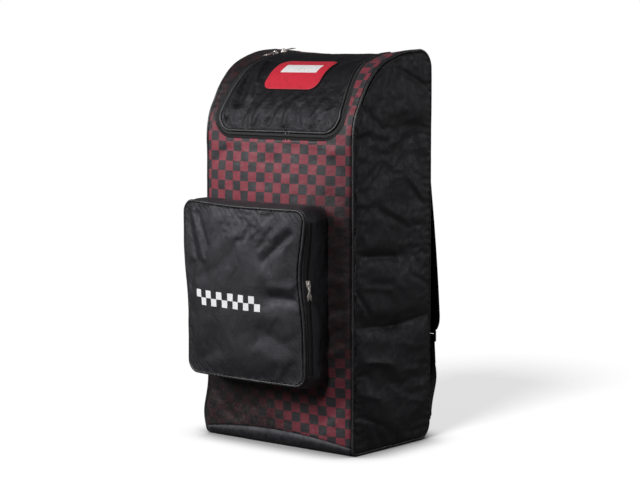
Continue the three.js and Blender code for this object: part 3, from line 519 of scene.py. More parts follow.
# The bag's main form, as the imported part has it


@dataclass
class BagForm:
    """The bag's outline seen from the side and the swell of its cloth."""

    width: float = 0.388
    depth: float = 0.258
    height: float = 0.804
    gap: float = 0.0003
    cloth: float = 0.002
    base_front_radius: float = 0.012
    base_back_radius: float = 0.035
    top_back_radius: float = 0.040
    front_swell: float = 0.017
    back_swell: float = 0.006
    hem_height: float = 0.017
    hem_rise: float = 0.016
    hem_fade: float = 0.096
    slump: float = 0.012
    slump_height: float = 0.045
    slump_reach: float = 0.042
    slump_back: float = 0.060
    piping_radius: float = 0.003
    piping_inset: float = 0.002
    shoulder_low: float = 0.74
    shoulder: float = 0.79
    top_rows: tuple[tuple[float, float], ...] = (
        (0.025, 0.833),
        (0.076, 0.866),
        (0.19, 0.922),
        (0.354, 0.966),
        (0.608, 0.993),
    )
    swell_rows: tuple[tuple[float, float], ...] = (
        (0.0, 0.0),
        (0.05, 0.45),
        (0.2, 1.0),
        (0.5, 0.95),
        (0.66, 0.45),
        (0.76, -0.2),
        (0.85, -0.75),
        (0.94, -0.65),
        (1.0, 0.0),
    )
    runs: Array = field(init=False)
    line: Array = field(init=False)
    tangent: Array = field(init=False)
    marks: list[float] = field(init=False)

    def __post_init__(self) -> None:
        """Lays the outline out as closely spaced points with their runs."""
        pieces = self.outline_pieces()
        points = [pieces[0][:1]]
        self.marks = []
        total = 0.0
        for piece in pieces:
            points.append(piece[1:])
            total += float(np.linalg.norm(np.diff(piece, axis=0), axis=1).sum())
            self.marks.append(total)
        self.line = np.vstack(points)
        steps = np.linalg.norm(np.diff(self.line, axis=0), axis=1)
        self.runs = np.concatenate([[0.0], np.cumsum(steps)])
        slopes = unit(np.diff(self.line, axis=0))
        self.tangent = unit(np.vstack([slopes[:1], slopes[1:] + slopes[:-1], slopes[-1:]]))

    def outline_pieces(self) -> list[Array]:
        """The outline's lines, arcs and top curve in order, once round from the middle of the base."""
        front, back = -self.depth / 2, self.depth / 2
        low, high, rear = self.base_front_radius, self.top_back_radius, self.base_back_radius

        def line(start: tuple[float, float], end: tuple[float, float]) -> Array:
            """A straight piece with close points."""
            return np.linspace(start, end, 400)

        def arc(y: float, z: float, radius: float, start: float, end: float) -> Array:
            """A round piece between two angles in degrees."""
            turn = np.radians(np.linspace(start, end, 200))
            return np.stack([y + radius * np.cos(turn), z + radius * np.sin(turn)], -1)

        shoulder = (front, self.shoulder_low * self.height)
        knots = [shoulder, (front, self.shoulder * self.height)]
        knots += [(front + d * self.depth, h * self.height) for d, h in self.top_rows]
        knots.append((back - high, self.height))
        return [
            line((0.0, 0.0), (front + low, 0.0)),
            arc(front + low, low, low, -90.0, -180.0),
            line((front, low), shoulder),
            self.top_curve(np.array(knots)),
            arc(back - high, self.height - high, high, 90.0, 0.0),
            line((back, self.height - high), (back, rear)),
            arc(back - rear, rear, rear, 0.0, -90.0),
            line((back - rear, 0.0), (0.0, 0.0)),
        ]

    @staticmethod
    def top_curve(knots: Array) -> Array:
        """The smooth curve of the slope and top through its knots.

        Args:
            knots: points that the curve passes.

        Returns:
            Close points along it.
        """
        share = np.linspace(0.0, 1.0, 160, endpoint=False)[:, None]
        padded = np.vstack([knots[:1], knots, knots[-1:]])
        spans = []
        for i in range(len(knots) - 1):
            a, b, c, d = padded[i : i + 4]
            low, high = (c - a) / 2, (d - b) / 2
            cubic = (2 * b - 2 * c + low + high) * share**3
            square = (3 * c - 3 * b - 2 * low - high) * share**2
            spans.append(cubic + square + low * share + b)
        return np.vstack([*spans, knots[-1:]])

    @property
    def flat_front(self) -> float:
        """Run at the front end of the flat base."""
        return self.marks[0]

    @property
    def front_low(self) -> float:
        """Run at the foot of the straight front."""
        return self.marks[1]

    @property
    def front_high(self) -> float:
        """Run at the head of the straight front."""
        return self.marks[2]

    @property
    def top_end(self) -> float:
        """Run at the back end of the top."""
        return self.marks[3]

    @property
    def back_high(self) -> float:
        """Run at the head of the straight back."""
        return self.marks[4]

    @property
    def back_low(self) -> float:
        """Run at the foot of the straight back."""
        return self.marks[5]

    @property
    def total(self) -> float:
        """Length of the whole outline."""
        return self.marks[-1]

    @property
    def edge_half(self) -> float:
        """Half the width of the cloth between the corded seams."""
        return self.width / 2 - self.piping_inset - self.piping_radius - self.gap

    @property
    def seam_depth(self) -> float:
        """How far the side cords lie inside the outline."""
        return self.piping_radius + self.gap

    def front_run(self, height: float | Array) -> float | Array:
        """The run of a height on the straight front."""
        return self.front_low + height - self.base_front_radius

    def swell(self, x: Array, run: Array) -> Array:
        """How far the cloth stands out of the outline.

        Args:
            x: place across the bag.
            run: place along the outline.

        Returns:
            The swell at each point.
        """
        at = np.mod(run, self.total)
        share = np.abs(x) / self.edge_half
        edge = clamp01(1.0 - share ** np.where(x > 0, 3, 2))
        rear = self.back_swell * np.sin(np.pi * (at - self.back_high) / (self.back_low - self.back_high))
        ahead = (at - self.flat_front) / (self.back_high - self.flat_front)
        front = self.front_swell * eased_rows(self.swell_rows, ahead)
        out = np.where(at > self.back_high, rear, front)
        return edge * np.where((at < self.flat_front) | (at > self.back_low), 0.0, out)

    def place(self, x: Array, run: Array, out: Array | float = 0.0) -> Array:
        """Points of the bag from places across, along the outline and out of the cloth.

        Args:
            x: place across the bag.
            run: place along the outline.
            out: distance out of the swelled cloth.

        Returns:
            Points in the frame of the part.
        """
        x, run, out = np.broadcast_arrays(x, run, out)
        at = np.mod(run, self.total)
        y = np.interp(at, self.runs, self.line[:, 0])
        z = np.interp(at, self.runs, self.line[:, 1])
        slope_y = np.interp(at, self.runs, self.tangent[:, 0])
        slope_z = np.interp(at, self.runs, self.tangent[:, 1])
        off = out + self.swell(x, run)
        y, z = y - slope_z * off, z + slope_y * off
        return np.stack([x - self.slumped(x, y, z), y, z], -1)

    def slumped(self, x: Array, y: Array, z: Array) -> Array:
        """How far the front's lower left corner sags sideways."""
        left = smooth(-x / (self.width / 2))
        low = np.exp(-(((z - self.slump_height) / self.slump_reach) ** 2))
        ahead = smooth((self.slump_back - y) / (self.slump_back + self.depth / 2))
        return self.slump * left * low * ahead

    def outward(self, x: Array, run: Array) -> Array:
        """The outward direction at points of the bag."""
        return unit(self.place(x, run, 0.001) - self.place(x, run, 0.0))

    def hem_lift(self, x: Array, run: Array) -> Array:
        """How far the bowed hem moves the cloth up along the front.

        Args:
            x: place across the bag.
            run: plain run before the bow.

        Returns:
            Length to add to the run.
        """
        hem = self.front_run(self.hem_height)
        middle = 1.0 - (x / self.edge_half) ** 2
        fade = 1.0 - smooth((run - hem) / self.hem_fade)
        reach = clamp01((run - self.front_low) / (hem - self.gap - self.front_low))
        return self.hem_rise * middle * fade * reach


@dataclass
class LidForm:
    """The D-shaped lid: its half width and ends along the cloth."""

    bag: BagForm
    strip_front: float = 0.021
    strip_back: float = 0.054
    corner: float = 0.050
    front_height: float = 0.623
    back_strip: float = 0.010
    tape: float = 0.012
    piping_radius: float = 0.0026
    lift: float = 0.0015
    ease: float = 0.060

    @property
    def half_front(self) -> float:
        """Half the lid's width at its front."""
        return self.bag.width / 2 - self.strip_front

    @property
    def half_back(self) -> float:
        """Half the lid's width at its back."""
        return self.bag.width / 2 - self.strip_back

    @property
    def front(self) -> float:
        """Run of the lid's front edge."""
        return self.bag.front_run(self.front_height)

    @property
    def back(self) -> float:
        """Run of the lid's back edge."""
        return self.bag.top_end - self.back_strip

    @property
    def piping_inset(self) -> float:
        """Distance from the opening to the middle of the lid's cord."""
        return self.bag.gap + self.tape + self.bag.gap + self.piping_radius

    @property
    def panel_inset(self) -> float:
        """Distance from the opening to the lid's cloth."""
        return self.piping_inset + self.piping_radius + self.bag.gap

    def half(self, run: Array) -> Array:
        """Half the opening's width at a run."""
        start = self.bag.front_run(self.bag.shoulder * self.bag.height)
        share = smooth((run - start) / (self.back - start))
        return mix(self.half_front, self.half_back, share)

    def edge(self, inset: float, corner_steps: int = 14, side_steps: int = 110) -> tuple[Array, Array]:
        """The right edge from front to back, drawn in by a distance.

        Args:
            inset: distance inside the opening.
            corner_steps: steps round the front corner.
            side_steps: steps along the side.

        Returns:
            Half width and run of each point.
        """
        turn = np.linspace(0.0, math.pi / 2, corner_steps + 1)
        radius = self.corner - inset
        corner_half = self.half_front - self.corner + radius * np.sin(turn)
        corner_run = self.front + self.corner - radius * np.cos(turn)
        side_run = np.linspace(self.front + self.corner, self.back - 3 * self.bag.gap, side_steps + 1)[1:]
        side_half = self.half(side_run) - inset
        return np.concatenate([corner_half, side_half]), np.concatenate([corner_run, side_run])

    def track(self, inset: float, lift: float, step: float) -> tuple[Array, Array, Array]:
        """The way round the lid, from the back on the left to the back on the right.

        Args:
            inset: distance inside the opening.
            lift: distance out of the cloth.
            step: spacing of the points.

        Returns:
            Points, outward directions, and x and run of each.
        """
        half, run = self.edge(inset)
        across = np.linspace(-half[0], half[0], 80)[1:-1]
        x = np.concatenate([-half[::-1], across, half])
        along = np.concatenate([run[::-1], np.full(len(across), run[0]), run])
        points = self.bag.place(x, along, lift)
        lengths = np.concatenate([[0.0], np.cumsum(np.linalg.norm(np.diff(points, axis=0), axis=1))])
        at = np.linspace(0.0, lengths[-1], int(round(lengths[-1] / step)) + 1)
        flat = np.stack([np.interp(at, lengths, x), np.interp(at, lengths, along)], -1)
        return self.bag.place(flat[:, 0], flat[:, 1], lift), self.bag.outward(flat[:, 0], flat[:, 1]), flat

    def rise(self, x: Array, run: Array) -> Array:
        """How far the lid's middle stands over the plain surface."""
        side = 1.0 - (x / self.half_front) ** 2
        ends = smooth((run - self.front) / self.ease) * smooth((self.back - run) / self.ease)
        return self.lift * side * ends


@dataclass
class PocketForm:
    """The front pocket: a rounded box of cloth, narrower towards its face."""

    bag: BagForm
    width: float = 0.327
    height: float = 0.356
    depth: float = 0.066
    offset: float = -0.0245
    base: float = 0.139
    corner: float = 0.026
    taper: float = 0.003
    puff: float = 0.009
    wall_puff: float = 0.005
    pinch: float = 0.013
    pinch_height: float = 0.045
    pinch_length: float = 0.075
    lean: float = 0.013
    lean_low: float = -0.060
    lean_length: float = 0.150
    lean_rise: float = 0.45
    tape: float = 0.011
    tape_margin: float = 0.003
    fold_depth: float = 0.0065
    folds: tuple[Fold, ...] = (
        Fold((0.03, 0.93), (0.2, 0.6), 0.06, -0.54),
        Fold((0.72, 0.74), (0.93, 0.9), 0.06, -0.62),
        Fold((0.76, 0.5), (0.97, 0.52), 0.06, -0.69),
        Fold((0.7, 0.28), (0.95, 0.2), 0.08, -0.46),
        Fold((0.1, 0.06), (0.3, 0.2), 0.08, -0.38),
    )

    @property
    def middle(self) -> float:
        """Height of the pocket's middle."""
        return self.base + self.height / 2

    @property
    def wall_front(self) -> float:
        """Front end of the wall's cloth."""
        return self.depth - self.bag.piping_inset - self.bag.piping_radius - self.bag.gap

    @property
    def tape_front(self) -> float:
        """Front edge of the zip tape on the wall."""
        return self.wall_front - self.tape_margin

    def place(self, x: Array, up: Array, out: Array | float) -> Array:
        """Points of the pocket from its own plan.

        Args:
            x: place across, from the pocket's middle.
            up: place up, from its middle.
            out: distance out of the bag's front.

        Returns:
            Points in the frame of the part.
        """
        x, up, out = np.broadcast_arrays(x, up, out)
        share = clamp01(out / self.depth)
        shrink = 1.0 - self.taper * share / (self.width / 2)
        middle = np.exp(-(((up - self.pinch_height) / self.pinch_length) ** 2))
        pinch = self.pinch * share * smooth(x / (self.width / 2)) * middle
        aside = smooth(-x / (self.width / 2))
        lean = self.lean * share * aside * smooth((up - self.lean_low) / self.lean_length)
        run = self.bag.front_run(self.middle + up * shrink + self.lean_rise * lean)
        return self.bag.place(self.offset + x * shrink - pinch - lean, run, out)

    def edge(self, inset: float, corner_steps: int = 12, side_steps: int = 76) -> tuple[Array, Array]:
        """One side of the outline from its lower to its upper edge.

        Args:
            inset: distance inside the outline.
            corner_steps: steps round each corner.
            side_steps: steps up the side.

        Returns:
            Half width and height of each point.
        """
        half = self.width / 2 - self.corner
        rise = self.height / 2 - self.corner
        radius = self.corner - inset
        turn = np.linspace(0.0, math.pi / 2, corner_steps + 1)
        side = np.linspace(-rise, rise, side_steps + 1)[1:-1]
        straight = np.full(len(side), half + radius)
        halves = [half + radius * np.sin(turn), straight, half + radius * np.cos(turn)]
        ups = [-rise - radius * np.cos(turn), side, rise + radius * np.sin(turn)]
        return np.concatenate(halves), np.concatenate(ups)

    def loop(self, inset: float, across_steps: int = 70) -> Array:
        """The whole outline once round as x and up pairs, starting at the left of its lower edge."""
        half, up = self.edge(inset)
        low = np.linspace(-half[0], half[0], across_steps)[1:-1]
        x = np.concatenate([low, half, -low, -half[::-1]])
        ups = np.concatenate([np.full(len(low), up[0]), up, np.full(len(low), up[-1]), up[::-1]])
        return np.stack([x, ups], -1)

    def wall_swell(self, out: Array | float) -> Array:
        """How far the wall swells out between bag and face."""
        return self.wall_puff * np.sin(np.pi * clamp01(np.asarray(out) / self.wall_front))

    def face_rise(self, x: Array, up: Array) -> Array:
        """How far the face stands out of its edge."""
        round_x = clamp01(1.0 - (x / (self.width / 2)) ** 4)
        round_up = clamp01(1.0 - (up / (self.height / 2)) ** 4)
        plan = [fold.scaled(self.width, self.height, self.width, self.fold_depth) for fold in self.folds]
        return round_x * round_up * (self.puff + folded(plan, x, up))


# Shader nodes


Colour = tuple[float, float, float]
Value = float | Sequence[float] | Socket


class NodeSheet:
    """Adds nodes to one tree, joins them and sets them out in rows."""

    def __init__(self, tree: bpy.types.NodeTree) -> None:
        """Starts on an emptied tree."""
        self.tree = tree
        self.count = 0
        tree.nodes.clear()

    def node(
        self,
        kind: str,
        inputs: dict[str | int, Value] | None = None,
        **settings: object,
    ) -> bpy.types.Node:
        """Adds a node.

        Args:
            kind: Blender's name of the node type.
            inputs: what goes into its sockets, each a value or another node's output.
            settings: the node's own options.

        Returns:
            The new node.
        """
        made = self.tree.nodes.new(kind)
        made.location = (230 * (self.count % 10), -280 * (self.count // 10))
        self.count += 1
        for option, value in settings.items():
            setattr(made, option, value)
        for socket, value in (inputs or {}).items():
            self.put(made.inputs[socket], value)
        return made

    def put(self, socket: Socket, value: Value) -> None:
        """Links or sets one input."""
        if isinstance(value, Socket):
            self.tree.links.new(value, socket)
        else:
            socket.default_value = value

    def maths(self, operation: str, a: Value, b: Value = 0.0, clamp: bool = False) -> Socket:
        """The outcome of a sum on two values."""
        return self.node("ShaderNodeMath", {0: a, 1: b}, operation=operation, use_clamp=clamp).outputs[0]

    def times(self, a: Value, b: Value) -> Socket:
        """The product of two values."""
        return self.maths("MULTIPLY", a, b)

    def plus(self, a: Value, b: Value, clamp: bool = False) -> Socket:
        """The sum of two values."""
        return self.maths("ADD", a, b, clamp)

    def minus(self, a: Value, b: Value) -> Socket:
        """The difference of two values."""
        return self.maths("SUBTRACT", a, b)

    def blend(self, share: Value, low: Value, high: Value) -> Socket:
        """A colour between two others."""
        return self.node("ShaderNodeMix", {0: share, 6: low, 7: high}, data_type="RGBA").outputs[2]

    def span(self, value: Value, low: float, high: float, to_low: float, to_high: float) -> Socket:
        """A value moved smoothly from one span to another."""
        inputs = {"Value": value, "From Min": low, "From Max": high, "To Min": to_low, "To Max": to_high}
        return self.node("ShaderNodeMapRange", inputs, interpolation_type="SMOOTHSTEP").outputs[0]

    def noise(self, at: Value, scale: Value, detail: float = 2.0, stretch: float = 0.0) -> Socket:
        """Smooth noise from 0 to 1."""
        inputs = {"Vector": at, "Scale": scale, "Detail": detail, "Distortion": stretch}
        return self.node("ShaderNodeTexNoise", inputs).outputs["Fac"]

    def parts(self, vector: Value) -> tuple[Socket, Socket, Socket]:
        """The three parts of a vector."""
        split = self.node("ShaderNodeSeparateXYZ", {0: vector})
        return split.outputs[0], split.outputs[1], split.outputs[2]

    def joined(self, x: Value, y: Value, z: Value = 0.0) -> Socket:
        """A vector from three values."""
        return self.node("ShaderNodeCombineXYZ", {0: x, 1: y, 2: z}).outputs[0]

    def bump(self, height: Value, depth: float, under: Socket | None = None) -> Socket:
        """A normal pushed about by a height.

        Args:
            height: the height, from 0 to 1.
            depth: metres that a height of 1 stands for.
            under: a normal to build on.

        Returns:
            The new normal.
        """
        made = self.node("ShaderNodeBump", {"Height": height, "Distance": depth, "Strength": 1.0})
        if under is not None:
            self.put(made.inputs["Normal"], under)
        return made.outputs["Normal"]

    def group(self, tree: bpy.types.NodeTree, **inputs: Value) -> bpy.types.Node:
        """Places a shared effect with its own values."""
        made = self.node("ShaderNodeGroup", node_tree=tree)
        for name, value in inputs.items():
            self.put(made.inputs[name], value)
        return made


class Effects:
    """Effects that several materials share, each a node group that is built once."""

    def __init__(self) -> None:
        """Builds the groups."""
        self.weave = self.build_weave()
        self.crumple = self.build_crumple()
        self.seam_wear = self.build_seam_wear()
        self.dust = self.build_dust()

    @staticmethod
    def start(
        name: str,
        inputs: Sequence[tuple[str, str, float]],
        outputs: Sequence[str],
    ) -> tuple[NodeSheet, bpy.types.Node, bpy.types.Node]:
        """Opens a new group.

        Args:
            name: the group's name.
            inputs: name, socket type and first value of each input.
            outputs: names of the values that it puts out.

        Returns:
            Its sheet, its input node and its output node.
        """
        tree = bpy.data.node_groups.new(name, "ShaderNodeTree")
        for label, kind, first in inputs:
            socket = tree.interface.new_socket(label, in_out="INPUT", socket_type=kind)
            if kind == "NodeSocketFloat":
                socket.default_value = first
        for label in outputs:
            tree.interface.new_socket(label, in_out="OUTPUT", socket_type="NodeSocketFloat")
        sheet = NodeSheet(tree)
        return sheet, sheet.node("NodeGroupInput"), sheet.node("NodeGroupOutput")

    def build_weave(self) -> bpy.types.NodeTree:
        """Plain weave: threads that pass over and under each other, with uneven thickness."""
        wanted = [("Vector", "NodeSocketVector", 0.0), ("Pitch", "NodeSocketFloat", 0.0006)]
        sheet, given, result = self.start("plain_weave", wanted, ["Height", "Thread", "Slub"])
        scale = sheet.maths("DIVIDE", 1.0, given.outputs["Pitch"])
        spread = sheet.node("ShaderNodeVectorMath", {0: given.outputs["Vector"], 3: scale}, operation="SCALE")
        u, v, _ = sheet.parts(spread.outputs[0])
        warp = sheet.maths("SINE", sheet.times(sheet.maths("FRACT", u), math.pi))
        weft = sheet.maths("SINE", sheet.times(sheet.maths("FRACT", v), math.pi))
        cell = sheet.plus(sheet.maths("FLOOR", u), sheet.maths("FLOOR", v))
        over = sheet.maths("FLOORED_MODULO", cell, 2.0)
        under = sheet.minus(1.0, over)
        height = sheet.plus(sheet.times(warp, over), sheet.times(weft, under))
        across = sheet.noise(sheet.joined(sheet.times(u, 0.9), sheet.times(v, 0.03)), 1.0)
        along = sheet.noise(sheet.joined(sheet.times(u, 0.03), sheet.times(v, 0.9)), 1.0)
        slub_across = sheet.noise(sheet.joined(sheet.times(u, 0.4), sheet.times(v, 0.14)), 1.0)
        slub_along = sheet.noise(sheet.joined(sheet.times(u, 0.14), sheet.times(v, 0.4)), 1.0)
        sheet.put(result.inputs["Height"], height)
        sheet.put(result.inputs["Thread"], sheet.times(sheet.plus(across, along), 0.5))
        sheet.put(result.inputs["Slub"], sheet.maths("MAXIMUM", slub_across, slub_along))
        return sheet.tree

    def build_crumple(self) -> bpy.types.NodeTree:
        """Fine crumples with sharp crests over slow unevenness."""
        wanted = [("Vector", "NodeSocketVector", 0.0), ("Scale", "NodeSocketFloat", 60.0)]
        sheet, given, result = self.start("cloth_crumple", wanted, ["Height", "Crest"])
        at, scale = given.outputs["Vector"], given.outputs["Scale"]
        coarse = sheet.noise(at, scale, 1.0, 0.6)
        fine = sheet.noise(at, sheet.times(scale, 2.7), 1.0, 0.9)
        swing = sheet.maths("ABSOLUTE", sheet.minus(sheet.times(fine, 2.0), 1.0))
        crest = sheet.maths("POWER", sheet.minus(1.0, swing), 5.0)
        height = sheet.plus(sheet.times(coarse, 0.85), sheet.times(crest, 0.15))
        sheet.put(result.inputs["Height"], height)
        sheet.put(result.inputs["Crest"], sheet.times(crest, coarse))
        return sheet.tree

    def build_seam_wear(self) -> bpy.types.NodeTree:
        """Paler, rubbed cloth in patches along seams and edges."""
        wanted = [
            ("Vector", "NodeSocketVector", 0.0),
            ("Edge", "NodeSocketFloat", 0.0),
            ("Amount", "NodeSocketFloat", 0.5),
        ]
        sheet, given, result = self.start("seam_wear", wanted, ["Wear"])
        patches = sheet.span(sheet.noise(given.outputs["Vector"], 90.0, 4.0), 0.42, 0.68, 0.0, 1.0)
        edge = sheet.maths("POWER", given.outputs["Edge"], 2.0)
        wear = sheet.times(sheet.times(patches, edge), given.outputs["Amount"])
        sheet.put(result.inputs["Wear"], wear)
        return sheet.tree

    def build_dust(self) -> bpy.types.NodeTree:
        """Pale dust that lies thicker near the floor."""
        wanted = [("Vector", "NodeSocketVector", 0.0), ("Amount", "NodeSocketFloat", 0.3)]
        sheet, given, result = self.start("low_dust", wanted, ["Dust"])
        _, _, height = sheet.parts(given.outputs["Vector"])
        low = sheet.span(height, 0.0, 0.16, 1.0, 0.12)
        specks = sheet.span(sheet.noise(given.outputs["Vector"], 220.0, 5.0), 0.52, 0.8, 0.0, 1.0)
        dust = sheet.times(sheet.times(low, specks), given.outputs["Amount"])
        sheet.put(result.inputs["Dust"], dust)
        return sheet.tree


@dataclass(frozen=True)
class Finish:
    """What every finish has: a name, the record's slot and the constant shader values."""

    name: str
    slot: str
    specular: float = 0.28
    specular_tint: Colour = (1.0, 1.0, 1.0)
    sheen: float = 0.0
    sheen_roughness: float = 0.4
    sheen_tint: Colour = (0.55, 0.56, 0.6)
    coat: float = 0.0
    coat_roughness: float = 0.3

    def material(self, effects: Effects) -> bpy.types.Material:
        """Makes the material.

        Args:
            effects: the shared node groups.

        Returns:
            The material, with its nodes in place.
        """
        made = bpy.data.materials.new(self.name)
        made.use_nodes = True
        sheet = NodeSheet(made.node_tree)
        shader = sheet.node("ShaderNodeBsdfPrincipled")
        shader.inputs["Specular IOR Level"].default_value = self.specular
        shader.inputs["Specular Tint"].default_value = (*self.specular_tint, 1.0)
        shader.inputs["Sheen Weight"].default_value = self.sheen
        shader.inputs["Sheen Roughness"].default_value = self.sheen_roughness
        shader.inputs["Sheen Tint"].default_value = (*self.sheen_tint, 1.0)
        shader.inputs["Coat Weight"].default_value = self.coat
        shader.inputs["Coat Roughness"].default_value = self.coat_roughness
        output = sheet.node("ShaderNodeOutputMaterial")
        sheet.put(output.inputs["Surface"], shader.outputs[0])
        self.surface(sheet, shader, effects)
        return made

    def surface(self, sheet: NodeSheet, shader: bpy.types.Node, effects: Effects) -> None:
        """Feeds the shader's colour, roughness and normal."""
        raise NotImplementedError

    @staticmethod
    def feed(sheet: NodeSheet, shader: bpy.types.Node, colour: Value, rough: Value, normal: Value) -> None:
        """Gives the shader its colour, roughness and normal."""
        sheet.put(shader.inputs["Base Color"], colour)
        sheet.put(shader.inputs["Roughness"], rough)
        sheet.put(shader.inputs["Normal"], normal)

    @staticmethod
    def cloth_place(sheet: NodeSheet) -> Socket:
        """The place on the flat cloth, in metres."""
        return sheet.node("ShaderNodeUVMap", uv_map=CLOTH_UV).outputs[0]

    @staticmethod
    def bag_place(sheet: NodeSheet) -> Socket:
        """The place in the frame of the part, in metres."""
        return sheet.node("ShaderNodeTexCoord").outputs["Object"]

    @staticmethod
    def seam_place(sheet: NodeSheet) -> Socket:
        """How close the surface is to a seam, 1 on it."""
        return sheet.node("ShaderNodeAttribute", attribute_name=SEAM_MARK).outputs["Fac"]


@dataclass(frozen=True)
class NylonFinish(Finish):
    """Coated black nylon: plain weave, fine crumples, rubbed seams and a little dust."""

    specular_tint: Colour = (0.93, 0.91, 1.0)
    colour: Colour = (0.0034, 0.0034, 0.0044)
    light: Colour = (0.0080, 0.0082, 0.0100)
    roughness: float = 0.56
    pitch: float = 0.0007
    weave_depth: float = 0.00002
    crumple_scale: float = 60.0
    crumple_depth: float = 0.0004
    slub_depth: float = 0.0001
    wear: float = 0.35
    dust: float = 0.12
    print_mask: bool = False

    def surface(self, sheet: NodeSheet, shader: bpy.types.Node, effects: Effects) -> None:
        """Feeds the shader's colour, roughness and normal."""
        flat, solid = self.cloth_place(sheet), self.bag_place(sheet)
        weave = sheet.group(effects.weave, Vector=flat, Pitch=self.pitch)
        crumple = sheet.group(effects.crumple, Vector=solid, Scale=self.crumple_scale)
        wear = sheet.group(effects.seam_wear, Vector=solid, Edge=self.seam_place(sheet), Amount=self.wear)
        dust = sheet.group(effects.dust, Vector=solid, Amount=self.dust)
        thread = sheet.span(weave.outputs["Thread"], 0.35, 0.65, 0.0, 0.55)
        colour = sheet.blend(thread, (*self.colour, 1.0), (*self.light, 1.0))
        colour = sheet.blend(wear.outputs["Wear"], colour, (0.075, 0.075, 0.08, 1.0))
        colour = sheet.blend(dust.outputs["Dust"], colour, (0.16, 0.15, 0.14, 1.0))
        if self.print_mask:
            colour = sheet.blend(self.white_checks(sheet, flat), colour, (0.82, 0.82, 0.83, 1.0))
        rough = sheet.span(crumple.outputs["Height"], 0.2, 0.8, self.roughness - 0.07, self.roughness + 0.1)
        rough = sheet.plus(rough, sheet.times(wear.outputs["Wear"], 0.25), clamp=True)
        fine = sheet.bump(weave.outputs["Height"], self.weave_depth)
        grain = sheet.bump(weave.outputs["Slub"], self.slub_depth, fine)
        normal = sheet.bump(crumple.outputs["Height"], self.crumple_depth, grain)
        self.feed(sheet, shader, colour, rough, normal)

    @staticmethod
    def white_checks(sheet: NodeSheet, flat: Socket) -> Socket:
        """A plain two-row strip of small white checks across the pocket's face.

        Args:
            sheet: the material's nodes.
            flat: place on the face, from its middle.

        Returns:
            1 where the print is.
        """
        cell = 0.0152
        columns, rows = 12.0, 2.0
        left, low = -0.122, -0.0315
        u, v, _ = sheet.parts(flat)
        along = sheet.maths("DIVIDE", sheet.minus(u, left), cell)
        above = sheet.maths("DIVIDE", sheet.minus(v, low), cell)
        check = sheet.plus(sheet.maths("FLOOR", along), sheet.maths("FLOOR", above))
        odd = sheet.maths("FLOORED_MODULO", check, 2.0)
        off_across = sheet.maths("ABSOLUTE", sheet.minus(along, columns / 2))
        inside = sheet.maths("LESS_THAN", off_across, columns / 2)
        off_up = sheet.maths("ABSOLUTE", sheet.minus(above, rows / 2))
        level = sheet.maths("LESS_THAN", off_up, rows / 2)
        rubbed = sheet.span(sheet.noise(flat, 900.0, 3.0), 0.22, 0.36, 0.55, 1.0)
        return sheet.times(sheet.times(odd, rubbed), sheet.times(inside, level))


